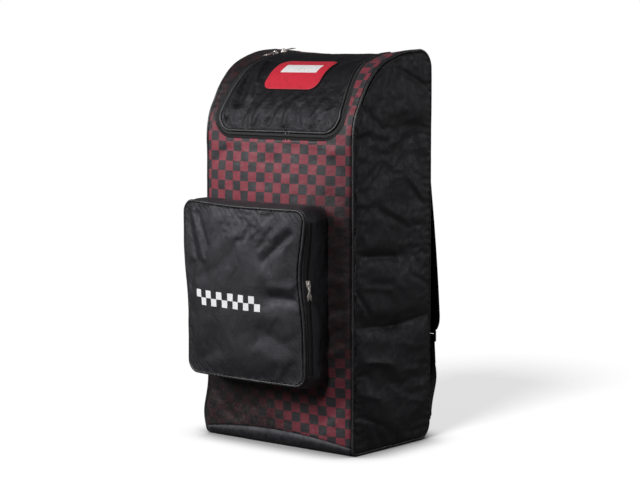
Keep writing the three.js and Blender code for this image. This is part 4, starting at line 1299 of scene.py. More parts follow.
@dataclass(frozen=True)
class CheckedFinish(Finish):
    """Checked print in dark red and grey, faded by a soft dark band that rises to the right, with painted
    shade towards the base, the right edge and the upper left strip.
    """

    red: Colour = (0.225, 0.037, 0.054)
    grey: Colour = (0.032, 0.030, 0.034)
    plum: Colour = (0.0075, 0.0052, 0.0062)
    check_width: float = 0.0222
    check_height: float = 0.0200
    across_shift: float = 0.0
    up_shift: float = 0.0
    band_middle: float = 0.270
    band_slope: float = 0.41
    band_half: float = 0.180
    band_soft: float = 0.085
    roughness: float = 0.5

    def surface(self, sheet: NodeSheet, shader: bpy.types.Node, effects: Effects) -> None:
        """Feeds the shader's colour, roughness and normal."""
        flat, solid = self.cloth_place(sheet), self.bag_place(sheet)
        weave = sheet.group(effects.weave, Vector=flat, Pitch=0.0008)
        crumple = sheet.group(effects.crumple, Vector=solid, Scale=45.0)
        wear = sheet.group(effects.seam_wear, Vector=solid, Edge=self.seam_place(sheet), Amount=0.35)
        dust = sheet.group(effects.dust, Vector=solid, Amount=0.3)
        thread = weave.outputs["Thread"]
        print_place = self.wandering(sheet, flat)
        u, v, _ = sheet.parts(print_place)
        across = sheet.plus(u, 1.0 + self.across_shift)
        column = sheet.maths("FLOOR", sheet.maths("DIVIDE", across, self.check_width))
        up = sheet.plus(v, 1.0 + self.up_shift)
        row = sheet.maths("FLOOR", sheet.maths("DIVIDE", up, self.check_height))
        odd = sheet.maths("FLOORED_MODULO", sheet.plus(column, row), 2.0)
        tone = sheet.span(thread, 0.32, 0.68, 0.82, 1.16)
        red = sheet.node("ShaderNodeVectorMath", {0: self.red, 3: tone}, operation="SCALE").outputs[0]
        grey = sheet.node("ShaderNodeVectorMath", {0: self.grey, 3: tone}, operation="SCALE").outputs[0]
        checks = sheet.blend(odd, grey, red)
        checks = sheet.blend(wear.outputs["Wear"], checks, (0.14, 0.11, 0.115, 1.0))
        # Painted shade towards the base and the right edge, in the band's plum.
        checks = sheet.blend(self.shade(sheet, solid), checks, (*self.plum, 1.0))
        # The print's dark band, together with painted shade on the upper left strip.
        colour = sheet.blend(self.band(sheet, solid), checks, (*self.plum, 1.0))
        colour = sheet.blend(dust.outputs["Dust"], colour, (0.2, 0.18, 0.17, 1.0))
        rough = sheet.span(crumple.outputs["Height"], 0.2, 0.8, self.roughness - 0.06, self.roughness + 0.1)
        fine = sheet.bump(weave.outputs["Height"], 0.00002)
        normal = sheet.bump(crumple.outputs["Height"], 0.0011, fine)
        self.feed(sheet, shader, colour, rough, normal)

    @staticmethod
    def wandering(sheet: NodeSheet, flat: Socket) -> Socket:
        """The place on the print, shifted a little so that its lines aren't ruled."""
        inputs = {"Vector": flat, "Scale": 22.0, "Detail": 1.0}
        drift = sheet.node("ShaderNodeTexNoise", inputs).outputs["Color"]
        centred = sheet.node("ShaderNodeVectorMath", {0: drift, 1: (0.5, 0.5, 0.5)}, operation="SUBTRACT")
        small = sheet.node("ShaderNodeVectorMath", {0: centred.outputs[0], 3: 0.0022}, operation="SCALE")
        return sheet.node("ShaderNodeVectorMath", {0: flat, 1: small.outputs[0]}, operation="ADD").outputs[0]

    @staticmethod
    def shade(sheet: NodeSheet, solid: Socket) -> Socket:
        """Painted shade: how much the print is darkened towards the base and the right edge."""
        x, _, z = sheet.parts(solid)
        low = sheet.span(z, 0.10, 0.55, 0.30, 0.0)
        right = sheet.span(x, 0.06, 0.20, 0.0, 0.22)
        return sheet.maths("MAXIMUM", low, right)

    def band(self, sheet: NodeSheet, solid: Socket) -> Socket:
        """How much of the dark band covers the print, with painted shade on the upper left strip beside the
        lid.
        """
        x, _, z = sheet.parts(solid)
        middle = sheet.plus(sheet.times(x, self.band_slope), self.band_middle)
        off = sheet.maths("ABSOLUTE", sheet.minus(z, middle))
        patchy = sheet.times(sheet.minus(sheet.noise(solid, 14.0, 2.0), 0.5), 0.05)
        off = sheet.plus(off, patchy)
        inner, outer = self.band_half - self.band_soft, self.band_half + self.band_soft
        diagonal = sheet.span(off, inner, outer, 0.96, 0.0)
        corner = sheet.plus(sheet.times(x, 1.6), z)
        low_left = sheet.span(corner, -0.02, 0.2, 0.9, 0.0)
        # Painted shade: the upper left strip beside the lid is darkened.
        high = sheet.span(z, 0.62, 0.70, 0.0, 0.93)
        high_left = sheet.times(high, sheet.span(x, -0.16, -0.10, 1.0, 0.0))
        return sheet.maths("MAXIMUM", sheet.maths("MAXIMUM", diagonal, low_left), high_left)


@dataclass(frozen=True)
class CordFinish(Finish):
    """Black coated cord covering with fine cross ribs and a glint along its crest."""

    colour: Colour = (0.016, 0.016, 0.018)
    roughness: float = 0.34

    def surface(self, sheet: NodeSheet, shader: bpy.types.Node, effects: Effects) -> None:
        """Feeds the shader's colour, roughness and normal."""
        flat, solid = self.cloth_place(sheet), self.bag_place(sheet)
        weave = sheet.group(effects.weave, Vector=flat, Pitch=0.0005)
        crumple = sheet.group(effects.crumple, Vector=solid, Scale=160.0)
        rubbed = sheet.span(sheet.noise(solid, 70.0, 4.0), 0.5, 0.8, 0.0, 0.5)
        colour = sheet.blend(rubbed, (*self.colour, 1.0), (0.06, 0.06, 0.064, 1.0))
        rough = sheet.span(crumple.outputs["Height"], 0.2, 0.8, self.roughness - 0.06, self.roughness + 0.16)
        fine = sheet.bump(weave.outputs["Height"], 0.00008)
        normal = sheet.bump(crumple.outputs["Height"], 0.0005, fine)
        self.feed(sheet, shader, colour, rough, normal)


@dataclass(frozen=True)
class BandFinish(Finish):
    """Woven tape and webbing: ribs along the band, crossed by fine herringbone, with painted shade in their
    hollows.
    """

    colour: Colour = (0.0105, 0.0105, 0.0115)
    light: Colour = (0.026, 0.026, 0.028)
    rib: float = 0.0016
    slant: float = 0.7
    roughness: float = 0.62
    depth: float = 0.00025

    def surface(self, sheet: NodeSheet, shader: bpy.types.Node, effects: Effects) -> None:
        """Feeds the shader's colour, roughness and normal."""
        flat, solid = self.cloth_place(sheet), self.bag_place(sheet)
        u, v, _ = sheet.parts(flat)
        side = sheet.maths("PINGPONG", u, self.rib)
        slanted = sheet.plus(sheet.times(side, self.slant), v)
        threads = sheet.maths("FRACT", sheet.maths("DIVIDE", slanted, 0.0009))
        thread = sheet.maths("SINE", sheet.times(threads, math.pi))
        ribs = sheet.maths("SINE", sheet.times(sheet.maths("DIVIDE", side, self.rib), math.pi))
        height = sheet.times(sheet.plus(thread, ribs), 0.5)
        fuzz = sheet.noise(solid, 380.0, 3.0)
        # Painted shade: the colour is darker in the hollows of ribs and threads, mixed with random fuzz tone.
        shade = sheet.times(sheet.plus(height, fuzz), 0.5)
        dust = sheet.group(effects.dust, Vector=solid, Amount=0.25)
        colour = sheet.blend(shade, (*self.colour, 1.0), (*self.light, 1.0))
        colour = sheet.blend(dust.outputs["Dust"], colour, (0.15, 0.14, 0.13, 1.0))
        rough = sheet.span(fuzz, 0.2, 0.8, self.roughness - 0.08, self.roughness + 0.12)
        sheet.put(shader.inputs["Base Color"], colour)
        sheet.put(shader.inputs["Roughness"], rough)
        sheet.put(shader.inputs["Normal"], sheet.bump(height, self.depth))


@dataclass(frozen=True)
class PatchFinish(Finish):
    """Red twill with a plain white stripe across its middle."""

    red: Colour = (0.60, 0.022, 0.045)
    white: Colour = (0.80, 0.80, 0.80)
    stripe_low: float = -0.006
    stripe_high: float = 0.024
    stripe_half: float = 0.047

    def surface(self, sheet: NodeSheet, shader: bpy.types.Node, effects: Effects) -> None:
        """Feeds the shader's colour, roughness and normal."""
        flat, solid = self.cloth_place(sheet), self.bag_place(sheet)
        u, v, _ = sheet.parts(flat)
        twill = sheet.maths("FRACT", sheet.maths("DIVIDE", sheet.plus(u, v), 0.0011))
        thread = sheet.maths("SINE", sheet.times(twill, math.pi))
        middle = (self.stripe_low + self.stripe_high) / 2
        half = (self.stripe_high - self.stripe_low) / 2
        level = sheet.maths("LESS_THAN", sheet.maths("ABSOLUTE", sheet.minus(v, middle)), half)
        reach = sheet.maths("LESS_THAN", sheet.maths("ABSOLUTE", u), self.stripe_half)
        stripe = sheet.times(level, reach)
        soil = sheet.span(sheet.noise(solid, 120.0, 4.0), 0.45, 0.75, 1.0, 0.84)
        plain = sheet.blend(stripe, (*self.red, 1.0), (*self.white, 1.0))
        # Painted shade darkens the twill's hollows; the soil adds random darker patches.
        tone = sheet.times(soil, sheet.span(thread, 0.0, 1.0, 0.88, 1.0))
        colour = sheet.node("ShaderNodeVectorMath", {0: plain, 3: tone}, operation="SCALE").outputs[0]
        rough = sheet.span(thread, 0.0, 1.0, 0.62, 0.48)
        sheet.put(shader.inputs["Base Color"], colour)
        sheet.put(shader.inputs["Roughness"], rough)
        sheet.put(shader.inputs["Normal"], sheet.bump(thread, 0.00012))


@dataclass(frozen=True)
class ThreadFinish(Finish):
    """Sewing thread, twisted, in one colour."""

    colour: Colour = (0.03, 0.03, 0.032)
    roughness: float = 0.5

    def surface(self, sheet: NodeSheet, shader: bpy.types.Node, effects: Effects) -> None:
        """Feeds the shader's colour, roughness and normal."""
        solid = self.bag_place(sheet)
        fuzz = sheet.noise(solid, 1400.0, 2.0)
        dark = tuple(0.6 * part for part in self.colour)
        sheet.put(shader.inputs["Base Color"], sheet.blend(fuzz, (*dark, 1.0), (*self.colour, 1.0)))
        rough = sheet.span(fuzz, 0.2, 0.8, self.roughness, self.roughness + 0.2)
        sheet.put(shader.inputs["Roughness"], rough)
        sheet.put(shader.inputs["Normal"], sheet.bump(fuzz, 0.0001))


@dataclass(frozen=True)
class NickelFinish(Finish):
    """Nickel plate with fine scratches and dull patches."""

    colour: Colour = (0.86, 0.81, 0.76)
    roughness: float = 0.34

    def surface(self, sheet: NodeSheet, shader: bpy.types.Node, effects: Effects) -> None:
        """Feeds the shader's colour, roughness and normal."""
        solid = self.bag_place(sheet)
        patches = sheet.noise(solid, 260.0, 4.0)
        x, y, z = sheet.parts(solid)
        drawn = sheet.joined(sheet.times(x, 5.0), sheet.times(y, 5.0), z)
        scratches = sheet.noise(drawn, 900.0, 5.0)
        dull = sheet.span(patches, 0.45, 0.8, 0.0, 0.7)
        colour = sheet.blend(dull, (*self.colour, 1.0), (0.62, 0.58, 0.54, 1.0))
        rough = sheet.span(scratches, 0.3, 0.7, self.roughness - 0.06, self.roughness + 0.14)
        shader.inputs["Metallic"].default_value = 1.0
        sheet.put(shader.inputs["Base Color"], colour)
        sheet.put(shader.inputs["Roughness"], rough)
        sheet.put(shader.inputs["Normal"], sheet.bump(scratches, 0.00004))


@dataclass(frozen=True)
class PlasticFinish(Finish):
    """Moulded black plastic with a fine grain and rubbed spots."""

    colour: Colour = (0.0125, 0.0125, 0.0135)
    roughness: float = 0.42

    def surface(self, sheet: NodeSheet, shader: bpy.types.Node, effects: Effects) -> None:
        """Feeds the shader's colour, roughness and normal."""
        solid = self.bag_place(sheet)
        grain = sheet.noise(solid, 1500.0, 2.0)
        rubbed = sheet.span(sheet.noise(solid, 130.0, 4.0), 0.5, 0.8, 0.0, 0.6)
        colour = sheet.blend(rubbed, (*self.colour, 1.0), (0.035, 0.035, 0.037, 1.0))
        rough = sheet.span(grain, 0.3, 0.7, self.roughness - 0.05, self.roughness + 0.1)
        sheet.put(shader.inputs["Base Color"], colour)
        sheet.put(shader.inputs["Roughness"], rough)
        sheet.put(shader.inputs["Normal"], sheet.bump(grain, 0.00006))


@dataclass(frozen=True)
class FloorFinish(Finish):
    """Matt white studio floor that glows to the camera, so that only shadows show on it, its glow dimmed near
    the bag as a painted contact shadow.
    """

    colour: Colour = (0.80, 0.80, 0.80)
    to_others: Colour = (0.18, 0.18, 0.18)
    glow: float = 0.695
    contact_reach: float = 0.09

    def surface(self, sheet: NodeSheet, shader: bpy.types.Node, effects: Effects) -> None:
        """Feeds the shader's colour, roughness and glow."""
        fine = sheet.noise(self.bag_place(sheet), 6.0, 2.0)
        seen = sheet.node("ShaderNodeLightPath").outputs["Is Camera Ray"]
        # Painted contact shadow: ambient occlusion dims the floor's glow close to the bag.
        near = sheet.node("ShaderNodeAmbientOcclusion", {"Distance": self.contact_reach}, samples=8)
        outside_painted_contact_shadow = sheet.span(near.outputs["AO"], 0.45, 0.98, 0.0, 1.0)
        shader.inputs["Emission Color"].default_value = (1.0, 1.0, 1.0, 1.0)
        glow = sheet.times(sheet.times(seen, self.glow), outside_painted_contact_shadow)
        sheet.put(shader.inputs["Emission Strength"], glow)
        sheet.put(shader.inputs["Base Color"], sheet.blend(seen, (*self.to_others, 1.0), (*self.colour, 1.0)))
        sheet.put(shader.inputs["Roughness"], sheet.span(fine, 0.2, 0.8, 0.9, 0.95))


class FinishKind(Enum):
    """Every finish of the bag and the studio."""

    CHECKED = CheckedFinish("checked_print", "checked_cloth", specular=0.3, sheen=0.05, sheen_roughness=0.5)
    BAG = NylonFinish("bag_nylon", "black_cloth", specular=0.5, sheen=0.02)
    LID = NylonFinish(
        "lid_nylon",
        "lid_cloth",
        sheen=0.02,
        specular=0.27,
        roughness=0.49,
        crumple_scale=85.0,
        crumple_depth=0.0003,
        slub_depth=0.0011,
        weave_depth=0.00006,
        pitch=0.0011,
    )
    POCKET = NylonFinish(
        "pocket_nylon",
        "pocket_cloth",
        sheen=0.02,
        specular=0.56,
        roughness=0.56,
        crumple_scale=75.0,
        crumple_depth=0.00025,
        slub_depth=0.0005,
        weave_depth=0.00004,
        print_mask=True,
    )
    POCKET_WALL = NylonFinish("pocket_wall_nylon", "pocket_cloth", specular=1.0, sheen=0.05)
    STRAP = NylonFinish("strap_nylon", "strap_cloth", pitch=0.0011, crumple_depth=0.0008)
    PIPING = CordFinish("cord_cover", "piping", specular=0.5, coat=0.15)
    ZIP_TAPE = BandFinish("zip_weave", "zip_tape", specular=0.3)
    WEBBING = BandFinish("webbing_weave", "webbing", rib=0.0028, depth=0.0004, specular=0.3)
    TEETH = PlasticFinish("zip_coil", "zip_tape", roughness=0.36)
    THREAD = ThreadFinish("black_thread", "black_cloth", specular=0.4)
    EDGE_THREAD = ThreadFinish("patch_thread", "patch_cloth", colour=(0.05, 0.008, 0.012), specular=0.4)
    PATCH = PatchFinish("patch_twill", "patch_cloth", specular=0.3, sheen=0.05)
    NICKEL = NickelFinish("nickel_plate", "nickel", specular=0.5)
    PLASTIC = PlasticFinish("moulded_plastic", "black_plastic", specular=0.5)
    FLOOR = FloorFinish("studio_floor", "", specular=0.1)


class Workshop:
    """Holds the made materials and gives each piece its last steps."""

    def __init__(self) -> None:
        """Builds the shared effects."""
        self.effects = Effects()
        self.made: dict[FinishKind, bpy.types.Material] = {}

    def material(self, kind: FinishKind) -> bpy.types.Material:
        """The material of a finish, made when first asked for."""
        if kind not in self.made:
            self.made[kind] = kind.value.material(self.effects)
        return self.made[kind]

    def dress(self, obj: bpy.types.Object, kind: FinishKind, *nodes: str) -> bpy.types.Object:
        """Gives a piece its finish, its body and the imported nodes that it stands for.

        Args:
            obj: the piece.
            kind: its finish.
            nodes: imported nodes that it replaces.

        Returns:
            The same piece.
        """
        obj.data.materials.clear()
        obj.data.materials.append(self.material(kind))
        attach(obj, BODY)
        if nodes:
            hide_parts(*nodes)
        LOG.info("%s: %d faces, %s", obj.name, len(obj.data.polygons), kind.name.lower())
        return obj


def seam_closeness(distance: Array, reach: float = 0.007) -> Array:
    """1 on a seam, fading with distance from it."""
    return np.exp(-np.maximum(distance, 0.0) / reach)


def puckers(along: Array, distance: Array, noise: ClothNoise, pitch: float, rise: float) -> Array:
    """Small gathers that run off a sewn edge.

    Args:
        along: place along the seam.
        distance: distance from the seam.
        noise: source of unevenness.
        pitch: usual length from gather to gather.
        rise: height of a gather.

    Returns:
        The rise at each point.
    """
    phase = 2.2 * noise.at(along / (5 * pitch), distance / 0.05)
    strength = 0.55 + 0.45 * noise.at(along / (3.3 * pitch) + 11.0, distance * 0.0)
    wave = np.sin(2 * np.pi * along / pitch + phase)
    return rise * strength * wave * np.exp(-distance / 0.014) * smooth(distance / 0.003)


@dataclass
class BagShell:
    """The sewn body of the bag: front, base, back and side cloths with their corded seams."""

    shop: Workshop
    bag: BagForm
    lid: LidForm
    thickness: float = 0.0016
    strip_columns: int = 12
    middle_columns: int = 66
    front_rows: int = 150
    lid_rows: int = 96
    rear_rows: int = 24
    front_folds: tuple[Fold, ...] = (
        Fold((0.186, 0.300), (0.110, 0.276), 0.010, -0.0030),
        Fold((0.186, 0.262), (0.128, 0.232), 0.008, -0.0026),
        Fold((0.186, 0.214), (0.120, 0.196), 0.009, 0.0026),
        Fold((0.186, 0.176), (0.140, 0.150), 0.007, -0.0022),
        Fold((0.186, 0.345), (0.135, 0.350), 0.010, 0.0024),
        Fold((-0.186, 0.560), (-0.130, 0.600), 0.012, -0.0030),
        Fold((0.150, 0.585), (0.186, 0.540), 0.010, -0.0024),
        Fold((0.180, 0.120), (0.120, 0.060), 0.012, -0.0026),
        Fold((-0.180, 0.110), (-0.110, 0.040), 0.012, -0.0028),
    )
    side_folds: tuple[Fold, ...] = (
        Fold((0.05, 0.325), (0.5, 0.308), 0.07, -0.77),
        Fold((0.5, 0.308), (0.97, 0.326), 0.08, -0.54),
        Fold((0.12, 0.49), (0.58, 0.478), 0.06, -0.62),
        Fold((0.1, 0.231), (0.45, 0.217), 0.07, 0.62),
        Fold((0.08, 0.148), (0.3, 0.135), 0.07, 0.46),
        Fold((0.52, 0.955), (0.95, 0.905), 0.09, -0.69),
        Fold((0.72, 0.78), (0.66, 0.5), 0.16, -1.0),
    )
    fine_side_folds: tuple[Fold, ...] = (
        Fold((0.03, 0.318), (0.55, 0.306), 0.016, -0.42),
        Fold((0.42, 0.306), (0.97, 0.324), 0.016, -0.38),
        Fold((0.14, 0.492), (0.52, 0.484), 0.022, -0.48),
        Fold((0.12, 0.232), (0.42, 0.219), 0.020, 0.36),
        Fold((0.08, 0.150), (0.28, 0.137), 0.020, 0.30),
        Fold((0.52, 0.952), (0.93, 0.905), 0.022, -0.44),
        Fold((0.16, 0.415), (0.46, 0.402), 0.020, 0.22),
        Fold((0.3, 0.60), (0.62, 0.565), 0.030, -0.24),
        Fold((0.62, 0.70), (0.9, 0.62), 0.034, 0.26),
        Fold((0.05, 0.40), (0.2, 0.345), 0.018, -0.30),
        Fold((0.74, 0.43), (0.96, 0.40), 0.024, -0.26),
        Fold((0.04, 0.10), (0.34, 0.065), 0.024, -0.28),
        Fold((0.55, 0.13), (0.9, 0.10), 0.030, 0.24),
        Fold((0.08, 0.86), (0.34, 0.80), 0.026, -0.24),
    )
    side_swell: float = 0.008
    fold_depth: float = 0.0065
    belly: tuple[float, float, float, float] = (0.75, 0.5, 0.07, 0.06)

    def build(self) -> None:
        """Builds and dresses all the pieces."""
        self.build_front()
        self.build_base()
        self.build_back()
        for side in Side:
            self.build_side(side)
            self.build_side_cord(side)

    def front_plan(self) -> tuple[Array, Array, Array]:
        """Places of the front cloth's vertices across and along.

        Returns:
            x and run of each vertex in rows, and the row numbers between which the lid's opening lies.
        """
        bag, lid = self.bag, self.lid
        hem = bag.front_run(bag.hem_height)
        turn = np.linspace(0.0, math.pi / 2, 15)
        below = np.linspace(hem, lid.front, self.front_rows, endpoint=False)
        corner = lid.front + lid.corner * (1.0 - np.cos(turn))
        beside = np.linspace(lid.front + lid.corner, lid.back, self.lid_rows)[1:]
        behind = np.linspace(lid.back, bag.back_high - bag.gap, self.rear_rows)[1:]
        run = np.concatenate([below, corner, beside, behind])
        start = lid.half_front - lid.corner
        half = np.concatenate([
            np.full(len(below), start),
            start + lid.corner * np.sin(turn),
            lid.half(beside),
            np.full(len(behind), lid.half_back),
        ])
        strip = np.linspace(0.0, 1.0, self.strip_columns + 1)
        middle = np.linspace(-1.0, 1.0, self.middle_columns + 1)[1:-1]
        edge = bag.edge_half
        x = np.concatenate([
            mix(-edge, -half[:, None], strip),
            half[:, None] * middle,
            mix(half[:, None], edge, strip),
        ], axis=1)
        plain = np.broadcast_to(run[:, None], x.shape)
        opening = np.array([len(below), len(below) + len(corner) + len(beside) - 1])
        return x, plain + bag.hem_lift(x, plain), opening

    def build_front(self) -> None:
        """The checked cloth, up the front and over the top, with the lid's opening."""
        bag, lid = self.bag, self.lid
        x, run, opening = self.front_plan()
        rows, columns = x.shape
        faces = grid_faces(rows, columns)
        row, column = np.divmod(faces[:, 0], columns)
        first = self.strip_columns
        inside = (column >= first) & (column < first + self.middle_columns)
        faces = faces[~((row >= opening[0]) & (row < opening[1]) & inside)]
        to_side = bag.edge_half - np.abs(x)
        along = np.clip(run, lid.front, lid.back)
        to_lid = np.hypot(np.maximum(np.abs(x) - lid.half(along), 0.0), run - along)
        to_hem = run - run[0]
        noise = ClothNoise(11)
        nearest = np.minimum(np.minimum(to_side, to_lid), to_hem)
        free = smooth(nearest / 0.02)
        slow = 0.0016 * noise.layered(x / 0.085, run / 0.10) + 0.0006 * noise.at(x / 0.024, run / 0.03 + 9.0)
        creases = 0.0005 * noise.creased(x / 0.030 + 4.0, run / 0.022)
        height = run - bag.front_low + bag.base_front_radius
        out = free * (slow + creases + folded(self.front_folds, x, height))
        out += puckers(run, to_side, noise, 0.016, 0.0008)
        out += puckers(x, to_hem, noise, 0.019, 0.0008)
        out -= 0.0012 * np.exp(-to_side / 0.004)
        uv = np.stack([x, run], -1).reshape(-1, 2)
        seam = seam_closeness(np.minimum(np.minimum(to_side, to_hem), np.where(to_lid > 0, to_lid, 1.0)))
        used = np.unique(faces)
        renumber = np.full(rows * columns, -1)
        renumber[used] = np.arange(len(used))
        points = bag.place(x, run, out).reshape(-1, 3)
        obj = make_object("front_cloth", points[used], renumber[faces], uv[used], seam.ravel()[used])
        thicken(obj, self.thickness)
        self.shop.dress(obj, FinishKind.CHECKED, "front_panel")

    def panel(
        self,
        name: str,
        run: Array,
        columns: int,
        relief: Callable[[Array, Array, Array], Array],
        node: str,
    ) -> None:
        """A cloth that spans the bag between the corded seams.

        Args:
            name: the piece's name.
            run: places of its rows along the outline.
            columns: spaces across.
            relief: height of its folds from x, run and distance to its edges.
            node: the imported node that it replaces.
        """
        bag = self.bag
        x, plain = np.meshgrid(np.linspace(-bag.edge_half, bag.edge_half, columns + 1), run)
        along = plain + bag.hem_lift(x, plain)
        ends = np.minimum(plain - run[0], run[-1] - plain)
        distance = np.minimum(bag.edge_half - np.abs(x), ends)
        points = bag.place(x, along, relief(x, along, distance)).reshape(-1, 3)
        uv = np.stack([x, along], -1).reshape(-1, 2)
        obj = make_object(name, points, grid_faces(*x.shape), uv, seam_closeness(distance))
        thicken(obj, self.thickness)
        self.shop.dress(obj, FinishKind.BAG, node)

    def build_base(self) -> None:
        """The black base, flat on the floor and turned up at both ends."""
        bag = self.bag
        low = bag.back_low - bag.total + bag.gap
        run = np.linspace(low, bag.front_run(bag.hem_height) - bag.gap, 74)
        noise = ClothNoise(12)

        def relief(x: Array, along: Array, distance: Array) -> Array:
            """Slight inward dents away from the flat underside."""
            dents = -0.0007 * np.abs(noise.layered(x / 0.05, along / 0.04))
            return dents * smooth(distance / 0.01) * smooth((along - bag.flat_front) / 0.004)

        self.panel("base_cloth", run, 70, relief, "base_panel")

    def build_back(self) -> None:
        """The plain back, a little slack between its seams."""
        bag = self.bag
        run = np.linspace(bag.back_high, bag.back_low, 130)
        noise = ClothNoise(13)

        def relief(x: Array, along: Array, distance: Array) -> Array:
            """Slack dents and puckers, all inwards from the straps."""
            slack = -0.0022 * np.abs(noise.layered(x / 0.10, along / 0.13))
            creases = -0.0007 * np.abs(noise.creased(x / 0.05, along / 0.035))
            return (slack + creases) * smooth(distance / 0.025) - np.abs(
                puckers(along, distance, noise, 0.017, 0.0006)
            )

        self.panel("back_cloth", run, 90, relief, "back_panel")

    def side_rise(self, y: Array, z: Array) -> Array:
        """How far a side cloth stands out, with its folds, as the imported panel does."""
        bag = self.bag
        round_y = 1.0 - (2.0 * y / bag.depth) ** 4
        round_z = 1.0 - (2.0 * z / bag.height - 1.0) ** 8
        plain, extra, middle, reach = self.belly
        belly = plain + extra * np.exp(-(((z / bag.height - middle) / reach) ** 2))
        size = (bag.depth, bag.height, bag.depth, self.fold_depth)
        folds = [fold.scaled(*size) for fold in self.side_folds + self.fine_side_folds]
        centred = z - bag.height / 2
        return round_y * round_z * (self.side_swell * belly + folded(folds, y, centred))

    def build_side(self, side: Side) -> None:
        """One side's gusset, a single cloth from base to top."""
        bag = self.bag
        inset = bag.seam_depth + bag.piping_radius + bag.gap
        outline = bag.place(bag.width, bag.runs[:-1], -inset)[:, 1:]
        reach = bag.depth / 2 - inset
        y = np.clip(reach * np.sin(np.linspace(-np.pi / 2, np.pi / 2, 84)), WELD - reach, reach - WELD)
        upper = outline[outline[:, 1] > bag.height / 2]
        lower = outline[outline[:, 1] < bag.height / 4]
        high = np.interp(y, *upper[np.argsort(upper[:, 0], kind="stable")].T)
        low = np.interp(y, *lower[np.argsort(lower[:, 0], kind="stable")].T)
        share = np.linspace(0.0, 1.0, 190)
        z = mix(low, high, share[:, None])
        y = np.broadcast_to(y, z.shape)
        distance = np.minimum(reach - np.abs(y), np.minimum(z - low, high - z))
        noise = ClothNoise(21 if side is Side.RIGHT else 22)
        slow = 0.0016 * noise.layered(y / 0.07, z / 0.09)
        patchy = 0.4 + 0.6 * noise.at(y / 0.1, z / 0.12) ** 2
        creases = 0.0007 * noise.creased(y / 0.045, z / 0.026) * patchy
        out = self.side_rise(y, z) + smooth(distance / 0.02) * (slow + creases)
        out += puckers(z, distance, noise, 0.015, 0.0007)
        x = side.value * (bag.width / 2 + out)
        points = np.stack([x - bag.slumped(x, y, z), y, z], -1)
        uv = np.stack([side.value * y, z], -1).reshape(-1, 2)
        faces = grid_faces(*z.shape)
        faces = faces if side is Side.RIGHT else faces[:, ::-1]
        points = points.reshape(-1, 3)
        obj = make_object(f"side_cloth_{side.label}", points, faces, uv, seam_closeness(distance))
        buckle(obj, grid_border(*z.shape), 0.012, 0.0, 14, 0.003)
        thicken(obj, self.thickness)
        self.shop.dress(obj, FinishKind.BAG, f"side_panel_{side.label}")

    def build_side_cord(self, side: Side) -> None:
        """The cord sewn into the seam round one side."""
        bag = self.bag
        run = np.linspace(0.0, bag.total, 900, endpoint=False)
        x = side.value * (bag.width / 2 - bag.piping_inset)
        noise = ClothNoise(31 + side.value)
        waver = 0.0004 * noise.layered(run / 0.05, run * 0.0)
        points = bag.place(np.full(len(run), x), run, -bag.seam_depth + waver)
        floor_lift = np.maximum(bag.piping_radius - points[:, 2], 0.0)
        points[:, 2] += floor_lift
        outward = np.broadcast_to((float(side.value), 0.0, 0.0), points.shape)
        section = round_section(bag.piping_radius, 16)
        obj = sweep(f"side_cord_{side.label}", points, outward, section, Ends.JOINED)
        self.shop.dress(obj, FinishKind.PIPING, f"side_piping_{side.label}")


def stitch_row(
    name: str,
    points: Array,
    outward: Array,
    size: tuple[float, float, float] = (0.0030, 0.0007, 0.0004),
    space: float = 0.0011,
    closed: bool = False,
) -> bpy.types.Object:
    """A row of stitches along a line that lies on the cloth.

    Args:
        name: the piece's name.
        points: the line.
        outward: outward direction at each point.
        size: length, width and height of a stitch.
        space: gap between stitches.
        closed: whether the line comes round to its start.

    Returns:
        One object with all the stitches.
    """
    spaced = even_path(points, size[0] + space, closed)
    nearest = np.argmin(np.linalg.norm(spaced[:, None] - points[None], axis=2), axis=1)
    along, across, out = path_frames(spaced, outward[nearest], closed)
    return small_blocks(name, spaced, along, across, out, size)


def join_pieces(name: str, pieces: Sequence[bpy.types.Object]) -> bpy.types.Object:
    """Joins pieces of one finish into a single object.

    Args:
        name: the joined piece's name.
        pieces: the objects, which are used up.

    Returns:
        The joined object.
    """
    points, faces, uvs, base = [], [], [], 0
    for piece in pieces:
        mesh = piece.data
        points.append(read_points(piece))
        faces.extend([[base + i for i in polygon.vertices] for polygon in mesh.polygons])
        uvs.append(vertex_uvs(mesh))
        base += len(mesh.vertices)
        bpy.data.objects.remove(piece)
        bpy.data.meshes.remove(mesh)
    return make_object(name, np.vstack(points), faces, np.vstack(uvs))


def vertex_uvs(mesh: bpy.types.Mesh) -> Array:
    """One cloth place for each vertex, zero where a mesh has none."""
    found = np.zeros((len(mesh.vertices), 2))
    layer = mesh.uv_layers.get(CLOTH_UV)
    if layer is not None:
        corners = np.empty(len(mesh.loops), dtype=np.int32)
        mesh.loops.foreach_get("vertex_index", corners)
        flat = np.empty(len(mesh.loops) * 2)
        layer.data.foreach_get("uv", flat)
        found[corners] = flat.reshape(-1, 2)
    return found


def softened_copy(node: str, name: str, bevel: float, segments: int = 2) -> bpy.types.Object:
    """A copy of a packed hard piece with rounded edges.

    Args:
        node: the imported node.
        name: the copy's name.
        bevel: width of the rounding.
        segments: steps across it.

    Returns:
        The new object.
    """
    mesh = bpy.data.objects[node].data.copy()
    mesh.name = name
    obj = bpy.data.objects.new(name, mesh)
    bpy.context.scene.collection.objects.link(obj)
    weld = obj.modifiers.new("weld", "WELD")
    weld.merge_threshold = 1e-5
    flat = obj.modifiers.new("flat_faces", "DECIMATE")
    flat.decimate_type = "DISSOLVE"
    flat.angle_limit = math.radians(2.0)
    edge = obj.modifiers.new("rounding", "BEVEL")
    edge.width = bevel
    edge.segments = segments
    edge.limit_method = "ANGLE"
    edge.angle_limit = math.radians(28.0)
    edge.harden_normals = True
    apply_modifiers(obj)
    obj.data.polygons.foreach_set("use_smooth", np.ones(len(obj.data.polygons), dtype=bool))
    return obj


